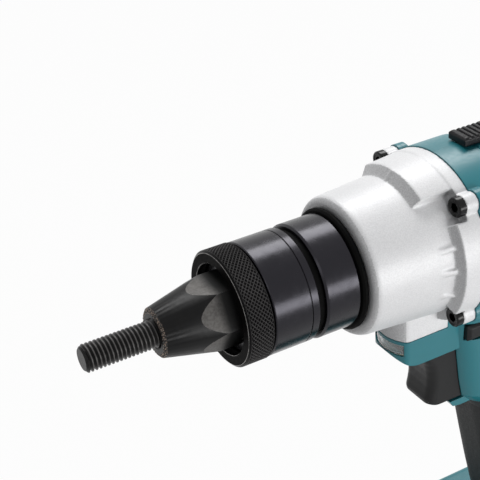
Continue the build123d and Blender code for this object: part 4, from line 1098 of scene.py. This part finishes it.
def add_lamp(name, place, target, size, power):
    bpy.ops.object.light_add(type="AREA", location=place)
    lamp = bpy.context.object
    lamp.name = name
    lamp.data.shape = "RECTANGLE"
    lamp.data.size, lamp.data.size_y = size
    lamp.data.energy = power
    aim = Vector(target) - Vector(place)
    lamp.rotation_euler = aim.to_track_quat("-Z", "Y").to_euler()


def seen_straight(tree):
    """1 for rays that show the background: from the camera, off gloss or through glass."""
    path = tree.nodes.new("ShaderNodeLightPath")
    share = path.outputs["Is Camera Ray"]
    for other in ("Is Glossy Ray", "Is Transmission Ray"):
        more = tree.nodes.new("ShaderNodeMath")
        more.operation = "MAXIMUM"
        tree.links.new(share, more.inputs[0])
        tree.links.new(path.outputs[other], more.inputs[1])
        share = more.outputs[0]
    return share


def light_the_room():
    """White background, a faint sky that lights the tool, and three soft lamps."""
    world = bpy.data.worlds.new("studio")
    bpy.context.scene.world = world
    world.use_nodes = True
    tree = world.node_tree
    background = tree.nodes["Background"]
    background.inputs["Color"].default_value = SKY_COLOUR
    background.inputs["Strength"].default_value = SKY_STRENGTH
    white = tree.nodes.new("ShaderNodeBackground")
    white.inputs["Color"].default_value = (1, 1, 1, 1)
    white.inputs["Strength"].default_value = 1.0
    mixer = tree.nodes.new("ShaderNodeMixShader")
    tree.links.new(seen_straight(tree), mixer.inputs[0])
    tree.links.new(background.outputs[0], mixer.inputs[1])
    tree.links.new(white.outputs[0], mixer.inputs[2])
    tree.links.new(mixer.outputs[0], tree.nodes["World Output"].inputs["Surface"])
    for name, place, target, size, power in LAMPS:
        add_lamp(name, place, target, size, power)


def lay_floor():
    """Pale ground under the tool that seems to glow white to the camera and still takes a faint shade."""
    free_selection()
    bpy.ops.mesh.primitive_plane_add(size=FLOOR_SIZE, location=(0, 0, cad_box[0][2] - FLOOR_DROP * MM))
    floor = named("floor")
    hold_place(floor)
    material = bpy.data.materials.new("pale_floor")
    material.use_nodes = True
    tree = material.node_tree
    shader = tree.nodes["Principled BSDF"]
    shader.inputs["Base Color"].default_value = FLOOR_COLOUR
    shader.inputs["Roughness"].default_value = FLOOR_ROUGHNESS
    glow = tree.nodes.new("ShaderNodeEmission")
    glow.inputs["Color"].default_value = (1, 1, 1, 1)
    glow.inputs["Strength"].default_value = 1.0
    share = tree.nodes.new("ShaderNodeMath")
    share.operation = "MULTIPLY"
    share.inputs[1].default_value = FLOOR_GLOW
    mixer = tree.nodes.new("ShaderNodeMixShader")
    tree.links.new(seen_straight(tree), share.inputs[0])
    tree.links.new(share.outputs[0], mixer.inputs[0])
    tree.links.new(shader.outputs[0], mixer.inputs[1])
    tree.links.new(glow.outputs[0], mixer.inputs[2])
    tree.links.new(mixer.outputs[0], tree.nodes["Material Output"].inputs["Surface"])
    floor.data.materials.append(material)


finish_nodes()
threaded_mandrel()
conical_anvil()
knurled_ring()
soft_casting()
housing_screw_set()
work_light()
soft_controls()
add_camera()
light_the_room()
lay_floor()

bpy.context.scene.view_settings.view_transform = "Standard"
